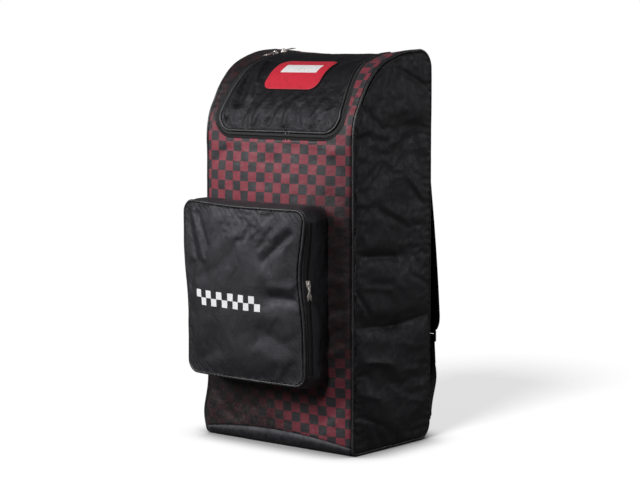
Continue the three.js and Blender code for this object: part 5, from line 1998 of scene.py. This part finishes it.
@dataclass
class ZipBand:
    """A closed zip: two woven tapes, the coil between them and a stitch row along each."""

    shop: Workshop
    name: str
    node: str
    width: float
    thickness: float
    coil_width: float = 0.0044
    coil_height: float = 0.0007
    pitch: float = 0.0015
    seam: float = 0.0016

    def build(self, middle: Array, outward: Array) -> None:
        """Builds the band along a line.

        Args:
            middle: middle of the band's upper face.
            outward: outward direction at each point.
        """
        half, coil = self.width / 2, self.coil_width / 2
        section = np.array([
            (-half, -self.thickness),
            (half, -self.thickness),
            (half, -0.0002),
            (half - 0.0005, 0.0),
            (coil + 0.0004, 0.0001),
            (coil, self.coil_height * 0.6),
            (-coil, self.coil_height * 0.6),
            (-coil - 0.0004, 0.0001),
            (-half + 0.0005, 0.0),
            (-half, -0.0002),
        ])
        tape = sweep(self.name, middle, outward, section, Ends.CAPPED)
        self.shop.dress(tape, FinishKind.ZIP_TAPE, self.node)
        spaced = even_path(middle, self.pitch)
        nearest = np.argmin(np.linalg.norm(spaced[:, None] - middle[None], axis=2), axis=1)
        along, across, out = path_frames(spaced, outward[nearest], False)
        raised = spaced + out * self.coil_height * 0.5
        teeth = small_blocks(
            f"{self.name}_coil",
            raised,
            across,
            along,
            out,
            (self.coil_width * 0.82, self.pitch * 0.72, self.coil_height),
        )
        self.shop.dress(teeth, FinishKind.TEETH)
        _, across, out = path_frames(middle, outward, False)
        rows = []
        for sign in (-1.0, 1.0):
            line = middle + across * sign * (half - self.seam)
            rows.append(stitch_row(f"{self.name}_row", line, out))
        self.shop.dress(join_pieces(f"{self.name}_stitches", rows), FinishKind.THREAD)


@dataclass
class Lid:
    """The black lid over the slope, with its zip, cord, patch and two sliders."""

    shop: Workshop
    bag: BagForm
    lid: LidForm
    columns: int = 118
    thickness: float = 0.0015
    patch_width: float = 0.144
    patch_length: float = 0.106
    patch_corner: float = 0.022
    patch_place: float = 0.54
    patch_thick: float = 0.0012
    patch_step: float = 0.0045
    folds: tuple[Fold, ...] = (
        Fold((-0.135, 0.175), (-0.118, 0.075), 0.010, -0.0084),
        Fold((-0.112, 0.190), (-0.092, 0.090), 0.009, 0.0058),
        Fold((-0.145, 0.120), (-0.138, 0.045), 0.008, 0.0048),
        Fold((-0.060, 0.030), (-0.040, 0.085), 0.008, 0.0030),
        Fold((-0.020, 0.028), (-0.004, 0.070), 0.007, -0.0028),
        Fold((0.022, 0.026), (0.034, 0.078), 0.008, 0.0026),
        Fold((0.060, 0.030), (0.050, 0.064), 0.007, -0.0024),
        Fold((0.092, 0.034), (0.110, 0.080), 0.009, 0.0026),
        Fold((-0.100, 0.030), (-0.085, 0.060), 0.008, -0.0022),
        Fold((0.128, 0.070), (0.118, 0.150), 0.010, -0.0022),
        Fold((0.070, 0.150), (0.105, 0.200), 0.012, 0.0020),
    )

    def build(self) -> None:
        """Builds and dresses all the pieces."""
        self.build_cloth()
        self.build_zip()
        self.build_cord()
        self.build_patch()
        for name in ("front", "rear"):
            for part in ("slider", "pull"):
                obj = softened_copy(f"lid_{part}_{name}", f"lid_{part}_{name}_metal", 0.00035)
                self.shop.dress(obj, FinishKind.NICKEL, f"lid_{part}_{name}")

    def relief(self, x: Array, run: Array, distance: Array) -> Array:
        """Height of the lid's folds over its packed form.

        Args:
            x: place across.
            run: place along.
            distance: distance to the lid's edge.

        Returns:
            The rise at each point.
        """
        noise = ClothNoise(41)
        along = run - self.lid.front
        low = smooth(1.0 - (along - 0.02) / 0.12)
        slow = 0.0007 * noise.layered(x / 0.06, along / 0.08)
        creases = (0.0001 + 0.0009 * low) * noise.creased(x / 0.026, along / 0.032)
        free = smooth(distance / 0.014)
        patch = smooth(np.hypot(x / 0.092, (run - self.patch_middle) / 0.070) ** 4 - 0.35)
        gathers = puckers(x, distance, noise, 0.013, 0.0006) * smooth((0.12 - along) / 0.04)
        return free * patch * (slow + creases + folded(self.folds, x, along)) + gathers

    @property
    def patch_middle(self) -> float:
        """Run of the patch's middle."""
        return float(mix(self.bag.front_high, self.bag.top_end, self.patch_place))

    def build_cloth(self) -> None:
        """The lid's own cloth, crumpled towards its front."""
        half, run = self.lid.edge(self.lid.panel_inset)
        x = half[:, None] * np.linspace(-1.0, 1.0, self.columns + 1)
        run = np.broadcast_to(run[:, None], x.shape)
        distance = np.minimum(half[:, None] - np.abs(x), run - run[0, 0])
        out = self.lid.rise(x, run) + self.relief(x, run, distance)
        points = self.bag.place(x, run, out).reshape(-1, 3)
        uv = np.stack([x, run], -1).reshape(-1, 2)
        obj = make_object("lid_cloth", points, grid_faces(*x.shape), uv, seam_closeness(distance))
        held = np.abs(x) < self.patch_width / 2 + 0.005
        held &= np.abs(run - self.patch_middle) < self.patch_length / 2 + 0.005
        fixed = np.union1d(grid_border(*x.shape), np.flatnonzero(held))
        buckle(obj, fixed, 0.010, 0.0, 16, 0.003)
        thicken(obj, self.thickness)
        self.shop.dress(obj, FinishKind.LID, "lid_panel")

    def build_zip(self) -> None:
        """The zip band round three sides of the lid."""
        band = ZipBand(self.shop, "lid_zip", "lid_zip_tape", self.lid.tape - 0.0004, 0.0018)
        middle, outward, _ = self.lid.track(self.bag.gap + self.lid.tape / 2, -0.0004, 0.004)
        band.build(middle, outward)

    def build_cord(self) -> None:
        """The cord between the zip and the lid's cloth."""
        points, outward, flat = self.lid.track(self.lid.piping_inset, 0.0, 0.0035)
        section = round_section(self.lid.piping_radius, 14)
        obj = sweep("lid_cord", points, outward, section, Ends.CAPPED)
        self.shop.dress(obj, FinishKind.PIPING, "lid_piping")

    def patch_outline(self, inset: float) -> Array:
        """The patch's rounded outline once round, as x and length pairs."""
        half_x = self.patch_width / 2 - self.patch_corner
        half_y = self.patch_length / 2 - self.patch_corner
        radius = self.patch_corner - inset
        turn = np.linspace(0.0, math.pi / 2, 13)
        arcs = []
        for quarter, (sign_x, sign_y) in enumerate(((1, 1), (-1, 1), (-1, -1), (1, -1))):
            angle = turn + quarter * math.pi / 2
            arcs.append(np.stack([
                sign_x * half_x + radius * np.cos(angle),
                sign_y * half_y + radius * np.sin(angle),
            ], -1))
        return even_path(np.vstack(arcs), self.patch_step, closed=True)

    def build_patch(self) -> None:
        """The plain red patch and its thread border."""
        outline = self.patch_outline(0.0006)
        share = np.linspace(0.0, 1.0, 16)[:, None, None]
        flat = outline[None] * share
        x, along = flat[..., 0], flat[..., 1]
        run = self.patch_middle + along
        lift = self.lid.rise(x, run) + 2 * self.bag.gap + self.patch_thick
        points = self.bag.place(x, run, lift)
        count = len(outline)
        faces = grid_faces(len(share), count, ring=True)[count:]
        hub = np.array([[0, count + (j + 1) % count, count + j] for j in range(count)])
        uv = np.stack([x, along], -1).reshape(-1, 2)
        turned = faces[:, ::-1].tolist() + hub[:, ::-1].tolist()
        keep = np.concatenate([[0], np.arange(count, count * len(share))])
        renumber = np.zeros(count * len(share), dtype=int)
        renumber[keep] = np.arange(len(keep))
        faces_kept = [[int(renumber[i]) for i in face] for face in turned]
        obj = make_object("patch", points.reshape(-1, 3)[keep], faces_kept, uv[keep])
        point_outwards(obj, Vector((0.0, -0.4, 1.0)))
        thicken(obj, self.patch_thick)
        self.shop.dress(obj, FinishKind.PATCH, "lid_patch")
        self.build_patch_border()

    def build_patch_border(self) -> None:
        """Close thread loops over the patch's edge."""
        outline = self.patch_outline(0.0006)
        run = self.patch_middle + outline[:, 1]
        lift = self.lid.rise(outline[:, 0], run) + 2 * self.bag.gap + self.patch_thick * 0.55
        points = even_path(self.bag.place(outline[:, 0], run, lift), 0.0011, True)
        around = self.bag.outward(outline[:, 0], run)
        source = self.bag.place(outline[:, 0], run, lift)
        nearest = np.argmin(np.linalg.norm(points[:, None] - source[None], axis=2), axis=1)
        along, across, out = path_frames(points, around[nearest], True)
        loops = small_blocks("patch_border", points, across, along, out, (0.0026, 0.00105, 0.0009))
        self.shop.dress(loops, FinishKind.EDGE_THREAD)


def point_outwards(obj: bpy.types.Object, direction: Vector) -> None:
    """Turns an open cloth over if its faces look away from a direction."""
    total = Vector((0.0, 0.0, 0.0))
    for polygon in obj.data.polygons:
        total += polygon.normal * polygon.area
    if total.dot(direction) < 0.0:
        obj.data.flip_normals()


@dataclass
class Pocket:
    """The square front pocket: face, wall, cord and zip with its slider and pull."""

    shop: Workshop
    bag: BagForm
    form: PocketForm
    columns: int = 104
    thickness: float = 0.0015
    wall_steps: int = 26
    folds: tuple[Fold, ...] = (
        Fold((-0.150, 0.150), (-0.120, 0.055), 0.009, -0.0030),
        Fold((-0.134, 0.155), (-0.098, 0.060), 0.008, 0.0026),
        Fold((-0.118, 0.150), (-0.086, 0.090), 0.007, -0.0022),
        Fold((0.070, 0.070), (0.135, 0.128), 0.008, -0.0026),
        Fold((0.060, 0.088), (0.120, 0.142), 0.010, 0.0026),
        Fold((0.092, -0.002), (0.150, -0.004), 0.009, -0.0034),
        Fold((0.090, 0.018), (0.148, 0.020), 0.010, 0.0026),
        Fold((0.060, -0.070), (0.145, -0.110), 0.014, -0.0018),
        Fold((0.050, -0.105), (0.135, -0.145), 0.014, 0.0014),
        Fold((-0.146, 0.000), (-0.130, 0.045), 0.009, -0.0030),
        Fold((-0.140, -0.110), (-0.090, -0.060), 0.014, 0.0016),
        Fold((-0.130, -0.150), (-0.060, -0.120), 0.014, -0.0018),
        Fold((0.000, 0.120), (0.030, 0.020), 0.020, 0.0012),
    )

    def build(self) -> None:
        """Builds and dresses all the pieces."""
        self.build_face()
        self.build_wall()
        self.build_cord()
        self.build_zip()
        for part in ("slider", "pull"):
            obj = softened_copy(f"pocket_{part}", f"pocket_{part}_metal", 0.00035)
            self.shop.dress(obj, FinishKind.NICKEL, f"pocket_{part}")

    def build_face(self) -> None:
        """The pocket's face, puffed out and pulled into folds from its corners."""
        form = self.form
        half, up = form.edge(self.bag.piping_inset + self.bag.piping_radius + self.bag.gap)
        x = half[:, None] * np.linspace(-1.0, 1.0, self.columns + 1)
        up = np.broadcast_to(up[:, None], x.shape)
        distance = np.minimum(half[:, None] - np.abs(x), np.minimum(up - up[0, 0], up[-1, 0] - up))
        noise = ClothNoise(51)
        top = smooth((up - 0.085) / 0.05) * smooth((0.1 - np.abs(x - 0.03)) / 0.05)
        slow = 0.0006 * noise.layered(x / 0.07, up / 0.08)
        creases = (0.0001 + 0.0012 * top) * noise.creased(x / 0.022, up / 0.026)
        free = smooth(distance / 0.012)
        out = form.depth + form.face_rise(x, up)
        out = out + free * (slow + creases + folded(self.folds, x, up))
        out = out + puckers(x + up, distance, noise, 0.014, 0.0007)
        points = form.place(x, up, out).reshape(-1, 3)
        uv = np.stack([x, up], -1).reshape(-1, 2)
        obj = make_object("pocket_face_cloth", points, grid_faces(*x.shape), uv, seam_closeness(distance))
        buckle(obj, grid_border(*x.shape), 0.007, 0.0, 16, 0.003)
        thicken(obj, self.thickness)
        self.shop.dress(obj, FinishKind.POCKET, "pocket_face")

    def build_wall(self) -> None:
        """The wall once round the pocket."""
        form = self.form
        loop = form.loop(0.0)
        ways = unit(loop - form.loop(self.bag.cloth))
        out = np.linspace(2 * self.bag.gap, form.wall_front, self.wall_steps)
        length = np.concatenate([[0.0], np.cumsum(np.linalg.norm(np.diff(loop, axis=0), axis=1))])
        along, depth = np.meshgrid(length, out, indexing="ij")
        distance = np.minimum(depth - out[0], out[-1] - depth)
        noise = ClothNoise(52)
        swell = form.wall_swell(depth) + smooth(distance / 0.012) * (
            0.0012 * noise.layered(along / 0.05, depth / 0.03)
            + 0.0005 * noise.creased(along / 0.03, depth / 0.02)
        )
        swell += puckers(along, distance, noise, 0.012, 0.0006)
        on_zip = (loop[:, :1] > 0.0) * smooth((form.height / 2 - form.corner - np.abs(loop[:, 1:])) / 0.01)
        under_tape = on_zip * smooth((depth - form.tape_front + form.tape + 0.004) / 0.004)
        swell = mix(swell, form.wall_swell(depth), under_tape)
        x = loop[:, :1] + ways[:, :1] * swell
        up = loop[:, 1:] + ways[:, 1:] * swell
        points = form.place(x, up, depth).reshape(-1, 3)
        uv = np.stack([along, depth], -1).reshape(-1, 2)
        faces = grid_faces(*depth.shape, loop=True)
        obj = make_object("pocket_wall", points, faces, uv, seam_closeness(distance))
        middle = Vector(points.mean(axis=0))
        turn = sum((Vector(p.center) - middle).dot(p.normal) * p.area for p in obj.data.polygons)
        if turn < 0.0:
            obj.data.flip_normals()
        thicken(obj, self.thickness)
        self.shop.dress(obj, FinishKind.POCKET_WALL, "pocket_gusset")

    def build_cord(self) -> None:
        """The cord round the edge of the face."""
        form, bag = self.form, self.bag
        flat = form.loop(bag.piping_inset)
        noise = ClothNoise(53)
        count = len(flat)
        waver = 0.0003 * noise.layered(np.arange(count) / 9.0, np.zeros(count))
        points = form.place(flat[:, 0], flat[:, 1], form.depth - bag.piping_inset + waver)
        outward = np.broadcast_to((0.0, -1.0, 0.0), points.shape)
        section = round_section(bag.piping_radius, 16)
        obj = sweep("pocket_cord", points, outward, section, Ends.JOINED)
        self.shop.dress(obj, FinishKind.PIPING, "pocket_piping")

    def build_zip(self) -> None:
        """The zip up the pocket's right wall."""
        form, bag = self.form, self.bag
        rise = form.height / 2 - form.corner
        up = np.linspace(-rise, rise, 80)
        out = form.tape_front - form.tape / 2
        lift = bag.gap + 0.001
        x = form.width / 2 + form.wall_swell(out) + lift
        middle = form.place(np.full(len(up), x), up, out)
        forward = form.place(np.full(len(up), x), up, out + 0.003) - middle
        upward = np.gradient(middle, axis=0)
        outward = unit(np.cross(forward, upward))
        outward *= np.sign(outward[:, :1])
        band = ZipBand(self.shop, "pocket_zip", "pocket_zip_tape", form.tape - 0.0004, 0.001, pitch=0.0014)
        band.build(middle, outward)


@dataclass
class ShoulderStrap:
    """One padded strap with its adjuster, webbing and base tab."""

    shop: Workshop
    bag: BagForm
    side: Side
    inset: float = 0.076
    width: float = 0.062
    thick: float = 0.009
    depth: float = 0.090
    top: float = 0.716
    low: float = 0.210
    rows: tuple[tuple[float, float], ...] = (
        (0.0, 0.0),
        (0.06, 0.03),
        (0.15, 0.26),
        (0.3, 0.51),
        (0.45, 0.65),
        (0.6, 0.77),
        (0.8, 0.9),
        (1.0, 1.0),
    )
    end_width: float = 0.032
    end_round: float = 0.034
    keeper_width: float = 0.022
    keeper_thick: float = 0.0010
    keeper_reach: float = 0.030
    buckle_length: float = 0.026
    slot_high: float = 0.0075
    slot_low: float = 0.0185
    loop_drop: float = 0.0009
    turn: float = 0.004
    tail: float = 0.060
    tail_lean: float = 0.08
    webbing_width: float = 0.025
    webbing_thick: float = 0.0016
    webbing_root: float = 0.002
    bow_low: float = 0.005
    bow_high: float = 0.006
    bow_back: float = 0.002
    tab_inset: float = 0.016
    tab_thick: float = 0.0024
    tab_length: float = 0.026
    tab_middle: float = 0.038

    def build(self) -> None:
        """Builds and dresses all the pieces."""
        self.build_pad()
        self.build_edges()
        self.build_keeper()
        self.build_webbing()
        name = self.side.label
        adjuster = softened_copy(f"strap_buckle_{name}", f"strap_adjuster_{name}", 0.0008, 3)
        self.shop.dress(adjuster, FinishKind.PLASTIC, f"strap_buckle_{name}")
        tab = softened_copy(f"strap_tab_{name}", f"strap_corner_tab_{name}", 0.0006, 2)
        self.shop.dress(tab, FinishKind.BAG, f"strap_tab_{name}")

    @property
    def x(self) -> float:
        """Place of the strap across the bag."""
        return self.side.value * (self.bag.width / 2 - self.inset)

    def line(self) -> Array:
        """The strap's middle line from its sewn top to the adjuster."""
        bag = self.bag
        inner = self.side.value * (bag.width / 2 - self.inset - self.width / 2)
        leave = mix(self.top, self.low, self.rows[1][0])
        run = bag.back_high + bag.height - bag.top_back_radius - leave
        seat = float(bag.place(inner, run, 0.0)[1]) + 2 * bag.gap + self.thick / 2
        knots = []
        for fall, stand in self.rows:
            knots.append((self.x, seat + self.depth * stand, mix(self.top, self.low, fall)))
        return eased_curve(np.array(knots), 0.004)

    def outline(self) -> tuple[Array, Array]:
        """The strap's middle line and half the pad's width along it, drawn in at the lower end."""
        points = self.line()
        steps = np.linalg.norm(np.diff(points, axis=0), axis=1)
        left = np.concatenate([np.cumsum(steps[::-1])[::-1], [0.0]])
        rounding = np.sqrt(1.0 - (1.0 - np.clip(left / self.end_round, 0.0, 1.0)) ** 2)
        return points, mix(self.end_width, self.width, rounding) / 2

    def build_pad(self) -> None:
        """The padded strap, full in the middle and flat along its sewn edges."""
        points, half = self.outline()
        share = np.linspace(-1.0, 1.0, 27)
        lengths = np.concatenate([[0.0], np.cumsum(np.linalg.norm(np.diff(points, axis=0), axis=1))])
        noise = ClothNoise(61 + self.side.value)
        ends = smooth(lengths / 0.02) * smooth((lengths[-1] - lengths) / 0.02)
        full = (1.0 - np.abs(share) ** 5)[None] * (0.55 + 0.45 * ends[:, None])
        edge = 0.0016
        uneven = 1.0 + 0.10 * noise.layered(lengths[:, None] / 0.04, share[None] * 1.5)
        rise = edge + (self.thick / 2 - edge) * full * uneven
        sideways = share[None] * (half[:, None] - 0.0015)
        upper = np.stack([sideways, rise], -1)
        lower = np.stack([sideways, -rise], -1)[:, ::-1]
        section = np.concatenate([upper, lower], axis=1)
        outward = np.broadcast_to((0.0, 1.0, 0.15), points.shape)
        obj = sweep(f"strap_pad_{self.side.label}", points, outward, section, Ends.CAPPED)
        self.shop.dress(obj, FinishKind.STRAP, f"shoulder_strap_{self.side.label}")

    def build_edges(self) -> None:
        """Binding along both edges of the pad and a stitch row inside each."""
        points, half = self.outline()
        outward = np.broadcast_to((0.0, 1.0, 0.15), points.shape)
        _, across, out = path_frames(points, outward, False)
        half = half[:, None]
        turn = np.linspace(0.0, 2 * math.pi, 18, endpoint=False)
        section = np.stack([0.0042 * np.cos(turn), 0.0027 * np.sin(turn)], -1)
        bindings, rows = [], []
        for sign in (-1.0, 1.0):
            edge = points + across * sign * (half - 0.0042)
            bindings.append(sweep("binding", edge, outward, section, Ends.CAPPED))
            for face in (-1.0, 1.0):
                line = points + across * sign * (half - 0.0058) + out * face * 0.0022
                rows.append(stitch_row("row", line, out * face, (0.0028, 0.0007, 0.0006)))
        name = self.side.label
        self.shop.dress(join_pieces(f"strap_binding_{name}", bindings), FinishKind.WEBBING)
        self.shop.dress(join_pieces(f"strap_stitches_{name}", rows), FinishKind.THREAD)

    def build_keeper(self) -> None:
        """The short loop of webbing that holds the adjuster's top bar to the pad."""
        points = self.line()
        down = unit(points[-1] - points[-6])
        out = unit(np.cross(down, np.array([-1.0, 0.0, 0.0])))
        bar_low = self.bag.gap + self.slot_high + self.keeper_thick / 2 + 0.0001
        face = self.thick / 2 + self.keeper_thick / 2
        flat = np.array([
            (face, -self.keeper_reach),
            (face, -0.004),
            (face * 0.7, bar_low * 0.45),
            (face * 0.45, bar_low * 0.85),
            (0.0, bar_low),
            (-face * 0.45, bar_low * 0.85),
            (-face * 0.7, bar_low * 0.45),
            (-face, -0.004),
            (-face, -self.keeper_reach),
        ])
        path = eased_curve(points[-1] + flat[:, :1] * out + flat[:, 1:] * down, 0.0012)
        inward = unit(points[-1] + down * (bar_low - self.slot_high) - path)
        half, thick = self.keeper_width / 2, self.keeper_thick / 2
        section = np.array([(-half, -thick), (half, -thick), (half, thick), (-half, thick)])
        name = self.side.label
        band = sweep(f"strap_keeper_{name}", path, -inward, section, Ends.CAPPED)
        self.shop.dress(band, FinishKind.WEBBING)
        across = np.linspace(-half + 0.002, half - 0.002, 12)[:, None] * np.array([1.0, 0.0, 0.0])
        above = np.broadcast_to(out, across.shape)
        rows = []
        for back in (0.010, 0.024):
            middle = points[-1] - down * back + out * (face + thick)
            rows.append(stitch_row("row", middle + across, above, (0.0026, 0.0008, 0.0006)))
        self.shop.dress(join_pieces(f"strap_keeper_stitches_{name}", rows), FinishKind.THREAD)

    def build_webbing(self) -> None:
        """The webbing from the base corner up through the adjuster and down again."""
        bag, side = self.bag, self.side.value
        end = self.line()[-1]
        slot = (self.slot_high + self.slot_low) / 2 + self.loop_drop
        bar = np.array([end[0], end[1], end[2] - bag.gap - slot])
        root = np.array([
            side * (bag.width / 2 - self.tab_inset - self.tab_thick / 2 - bag.gap - self.webbing_thick / 2),
            bag.depth / 2 + self.webbing_width / 2 + self.webbing_root,
            self.tab_middle,
        ])
        lift = unit(np.array([0.0, bar[1] - root[1], bar[2] - root[2]]))
        root_width = np.array([0.0, -lift[2], lift[1]])
        climb = eased_curve(np.array([
            root,
            root + lift * self.tab_length + (-side * self.bow_low, 0.0, 0.0),
            (root + bar) / 2 + (side * self.bow_high, self.bow_back, 0.0),
            bar + (0.0, -self.turn, -self.buckle_length),
            bar + (0.0, -self.turn, 0.0),
        ]), 0.0035)
        angle = np.linspace(math.pi, 0.0, 12)[1:]
        loop = bar + self.turn * np.stack([np.zeros(11), np.cos(angle), np.sin(angle)], -1)
        drop = np.linspace(0.0, self.tail, 18)[1:]
        tail = bar + np.stack([np.zeros(17), self.turn + drop * self.tail_lean, -drop], -1)
        points = np.vstack([climb, loop, tail])
        twist = smooth((14.0 * np.arange(len(points)) / (len(climb) - 1) - 2.0) / 9.0)[:, None]
        wide = mix(root_width, np.array([-1.0, 0.0, 0.0]), twist)
        along = unit(np.gradient(points, axis=0))
        outward = unit(np.cross(along, wide))
        half, thick = self.webbing_width / 2, self.webbing_thick / 2
        section = np.array([
            (-half, -thick * 0.4),
            (-half + 0.0006, -thick),
            (half - 0.0006, -thick),
            (half, -thick * 0.4),
            (half, thick * 0.4),
            (half - 0.0006, thick),
            (-half + 0.0006, thick),
            (-half, thick * 0.4),
        ])
        name = self.side.label
        obj = sweep(f"strap_band_{name}", points, outward, section, Ends.CAPPED)
        self.shop.dress(obj, FinishKind.WEBBING, f"strap_webbing_{name}")


def eased_curve(knots: Array, step: float) -> Array:
    """A smooth curve through knots, with the knots' spacing kept even by the root of their distance.

    Args:
        knots: points that the curve passes.
        step: spacing of the points given back.

    Returns:
        Evenly spaced points.
    """
    padded = np.vstack([2 * knots[:1] - knots[1:2], knots, 2 * knots[-1:] - knots[-2:-1]])
    spans = []
    for i in range(len(knots) - 1):
        a, b, c, d = padded[i : i + 4]
        near, mid, far = (math.sqrt(max(float(np.linalg.norm(v)), WELD)) for v in (b - a, c - b, d - c))
        low = ((b - a) / near - (c - a) / (near + mid) + (c - b) / mid) * mid
        high = ((c - b) / mid - (d - b) / (mid + far) + (d - c) / far) * mid
        t = np.linspace(0.0, 1.0, 60, endpoint=False)[:, None]
        cubic = 2 * b - 2 * c + low + high
        square = -3 * b + 3 * c - 2 * low - high
        spans.append(cubic * t**3 + square * t**2 + low * t + b)
    return even_path(np.vstack([*spans, knots[-1:]]), step)


@dataclass(frozen=True)
class SoftBox:
    """One square soft light: its name, its place, its side in metres and its power in watts."""

    name: str
    place: tuple[float, float, float]
    side: float
    power: float


@dataclass
class Studio:
    """Plain pale floor, soft lights and the camera at the photograph's angle."""

    shop: Workshop
    floor_reach: float = 9.0
    camera_place: tuple[float, float, float] = (2.52842, -3.06415, 0.80381)
    camera_tilt: float = 84.34
    camera_turn: float = 39.48
    lens: float = 108.54
    key_from: tuple[float, float, float] = (0.14, -0.99, 0.86)
    key_power: float = 1.7
    key_spread: float = 16.0
    glow_cast: float = 0.065
    aim: tuple[float, float, float] = (0.0, 0.0, 0.40)
    boxes: tuple[SoftBox, ...] = (
        SoftBox("left", (-2.0, -2.6, 1.75), 1.2, 86.0),
        SoftBox("side", (2.5, 2.3, 1.1), 1.0, 11.5),
        SoftBox("rear", (-0.3, 3.3, 1.6), 1.0, 9.0),
    )

    def build(self) -> None:
        """Sets up floor, lights, world and camera."""
        floor = self.build_floor()
        self.build_world()
        self.build_camera()
        self.build_key()
        for box in self.boxes:
            self.build_box(box, floor)

    def build_floor(self) -> bpy.types.Object:
        """A wide floor, part of the stage and not of the bag.

        Returns:
            The floor.
        """
        count = 60
        at = np.linspace(-self.floor_reach, self.floor_reach, count)
        x, y = np.meshgrid(at, at, indexing="ij")
        points = np.stack([x, y, np.full_like(x, -0.0004)], -1).reshape(-1, 3)
        uv = points[:, :2]
        floor = make_object("floor", points, grid_faces(count, count)[:, ::-1], uv)
        point_outwards(floor, Vector((0.0, 0.0, 1.0)))
        floor.data.materials.append(self.shop.material(FinishKind.FLOOR))
        return floor

    def build_world(self) -> None:
        """A white surround that lights the bag only weakly."""
        world = bpy.data.worlds.new("studio")
        world.use_nodes = True
        sheet = NodeSheet(world.node_tree)
        white = (1.0, 1.0, 1.0, 1.0)
        seen = sheet.node("ShaderNodeBackground", {"Color": white, "Strength": 1.0})
        cast = sheet.node("ShaderNodeBackground", {"Color": white, "Strength": self.glow_cast})
        ray = sheet.node("ShaderNodeLightPath").outputs["Is Camera Ray"]
        both = sheet.node("ShaderNodeMixShader", {0: ray, 1: cast.outputs[0], 2: seen.outputs[0]})
        output = sheet.node("ShaderNodeOutputWorld")
        sheet.put(output.inputs["Surface"], both.outputs[0])
        scene = bpy.context.scene
        scene.world = world
        scene.view_settings.view_transform = "Standard"

    def build_camera(self) -> None:
        """The camera, fitted to the bag's corners in the photograph."""
        data = bpy.data.cameras.new("camera")
        data.lens = self.lens
        data.sensor_width = 36.0
        camera = bpy.data.objects.new("camera", data)
        camera.location = self.camera_place
        camera.rotation_euler = Euler((math.radians(self.camera_tilt), 0.0, math.radians(self.camera_turn)))
        bpy.context.scene.collection.objects.link(camera)
        bpy.context.scene.camera = camera

    def build_key(self) -> None:
        """The main light from the front and above, a little to the right, with a soft edge."""
        data = bpy.data.lights.new("key", "SUN")
        data.energy = self.key_power
        data.angle = math.radians(self.key_spread)
        light = bpy.data.objects.new("key", data)
        away = Vector(self.key_from)
        light.location = away * 4.0
        light.rotation_euler = (-away).to_track_quat("-Z", "Y").to_euler()
        bpy.context.scene.collection.objects.link(light)

    def build_box(self, box: SoftBox, floor: bpy.types.Object) -> None:
        """Adds one soft box that lights the bag and leaves the floor to the key light.

        Args:
            box: the soft box.
            floor: the floor, which it doesn't light.
        """
        data = bpy.data.lights.new(box.name, "AREA")
        data.shape = "RECTANGLE"
        data.size = box.side
        data.size_y = box.side
        data.energy = box.power
        light = bpy.data.objects.new(box.name, data)
        light.location = box.place
        light.rotation_euler = (Vector(self.aim) - Vector(box.place)).to_track_quat("-Z", "Y").to_euler()
        bpy.context.scene.collection.objects.link(light)
        unlit = bpy.data.collections.new(f"{box.name}_unlit")
        unlit.objects.link(floor)
        unlit.collection_objects[0].light_linking.link_state = "EXCLUDE"
        light.light_linking.receiver_collection = unlit


def main() -> None:
    """Builds the bag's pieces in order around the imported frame, then the studio."""
    logging.basicConfig(level=logging.INFO, format="%(name)s: %(message)s")
    for obj in list(bpy.data.objects):
        bpy.data.objects.remove(obj)
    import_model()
    shop = Workshop()
    bag = BagForm()
    lid = LidForm(bag)
    BagShell(shop, bag, lid).build()
    Lid(shop, bag, lid).build()
    Pocket(shop, bag, PocketForm(bag)).build()
    for side in Side:
        ShoulderStrap(shop, bag, side).build()
    Studio(shop).build()


if __name__ == "__main__":
    main()
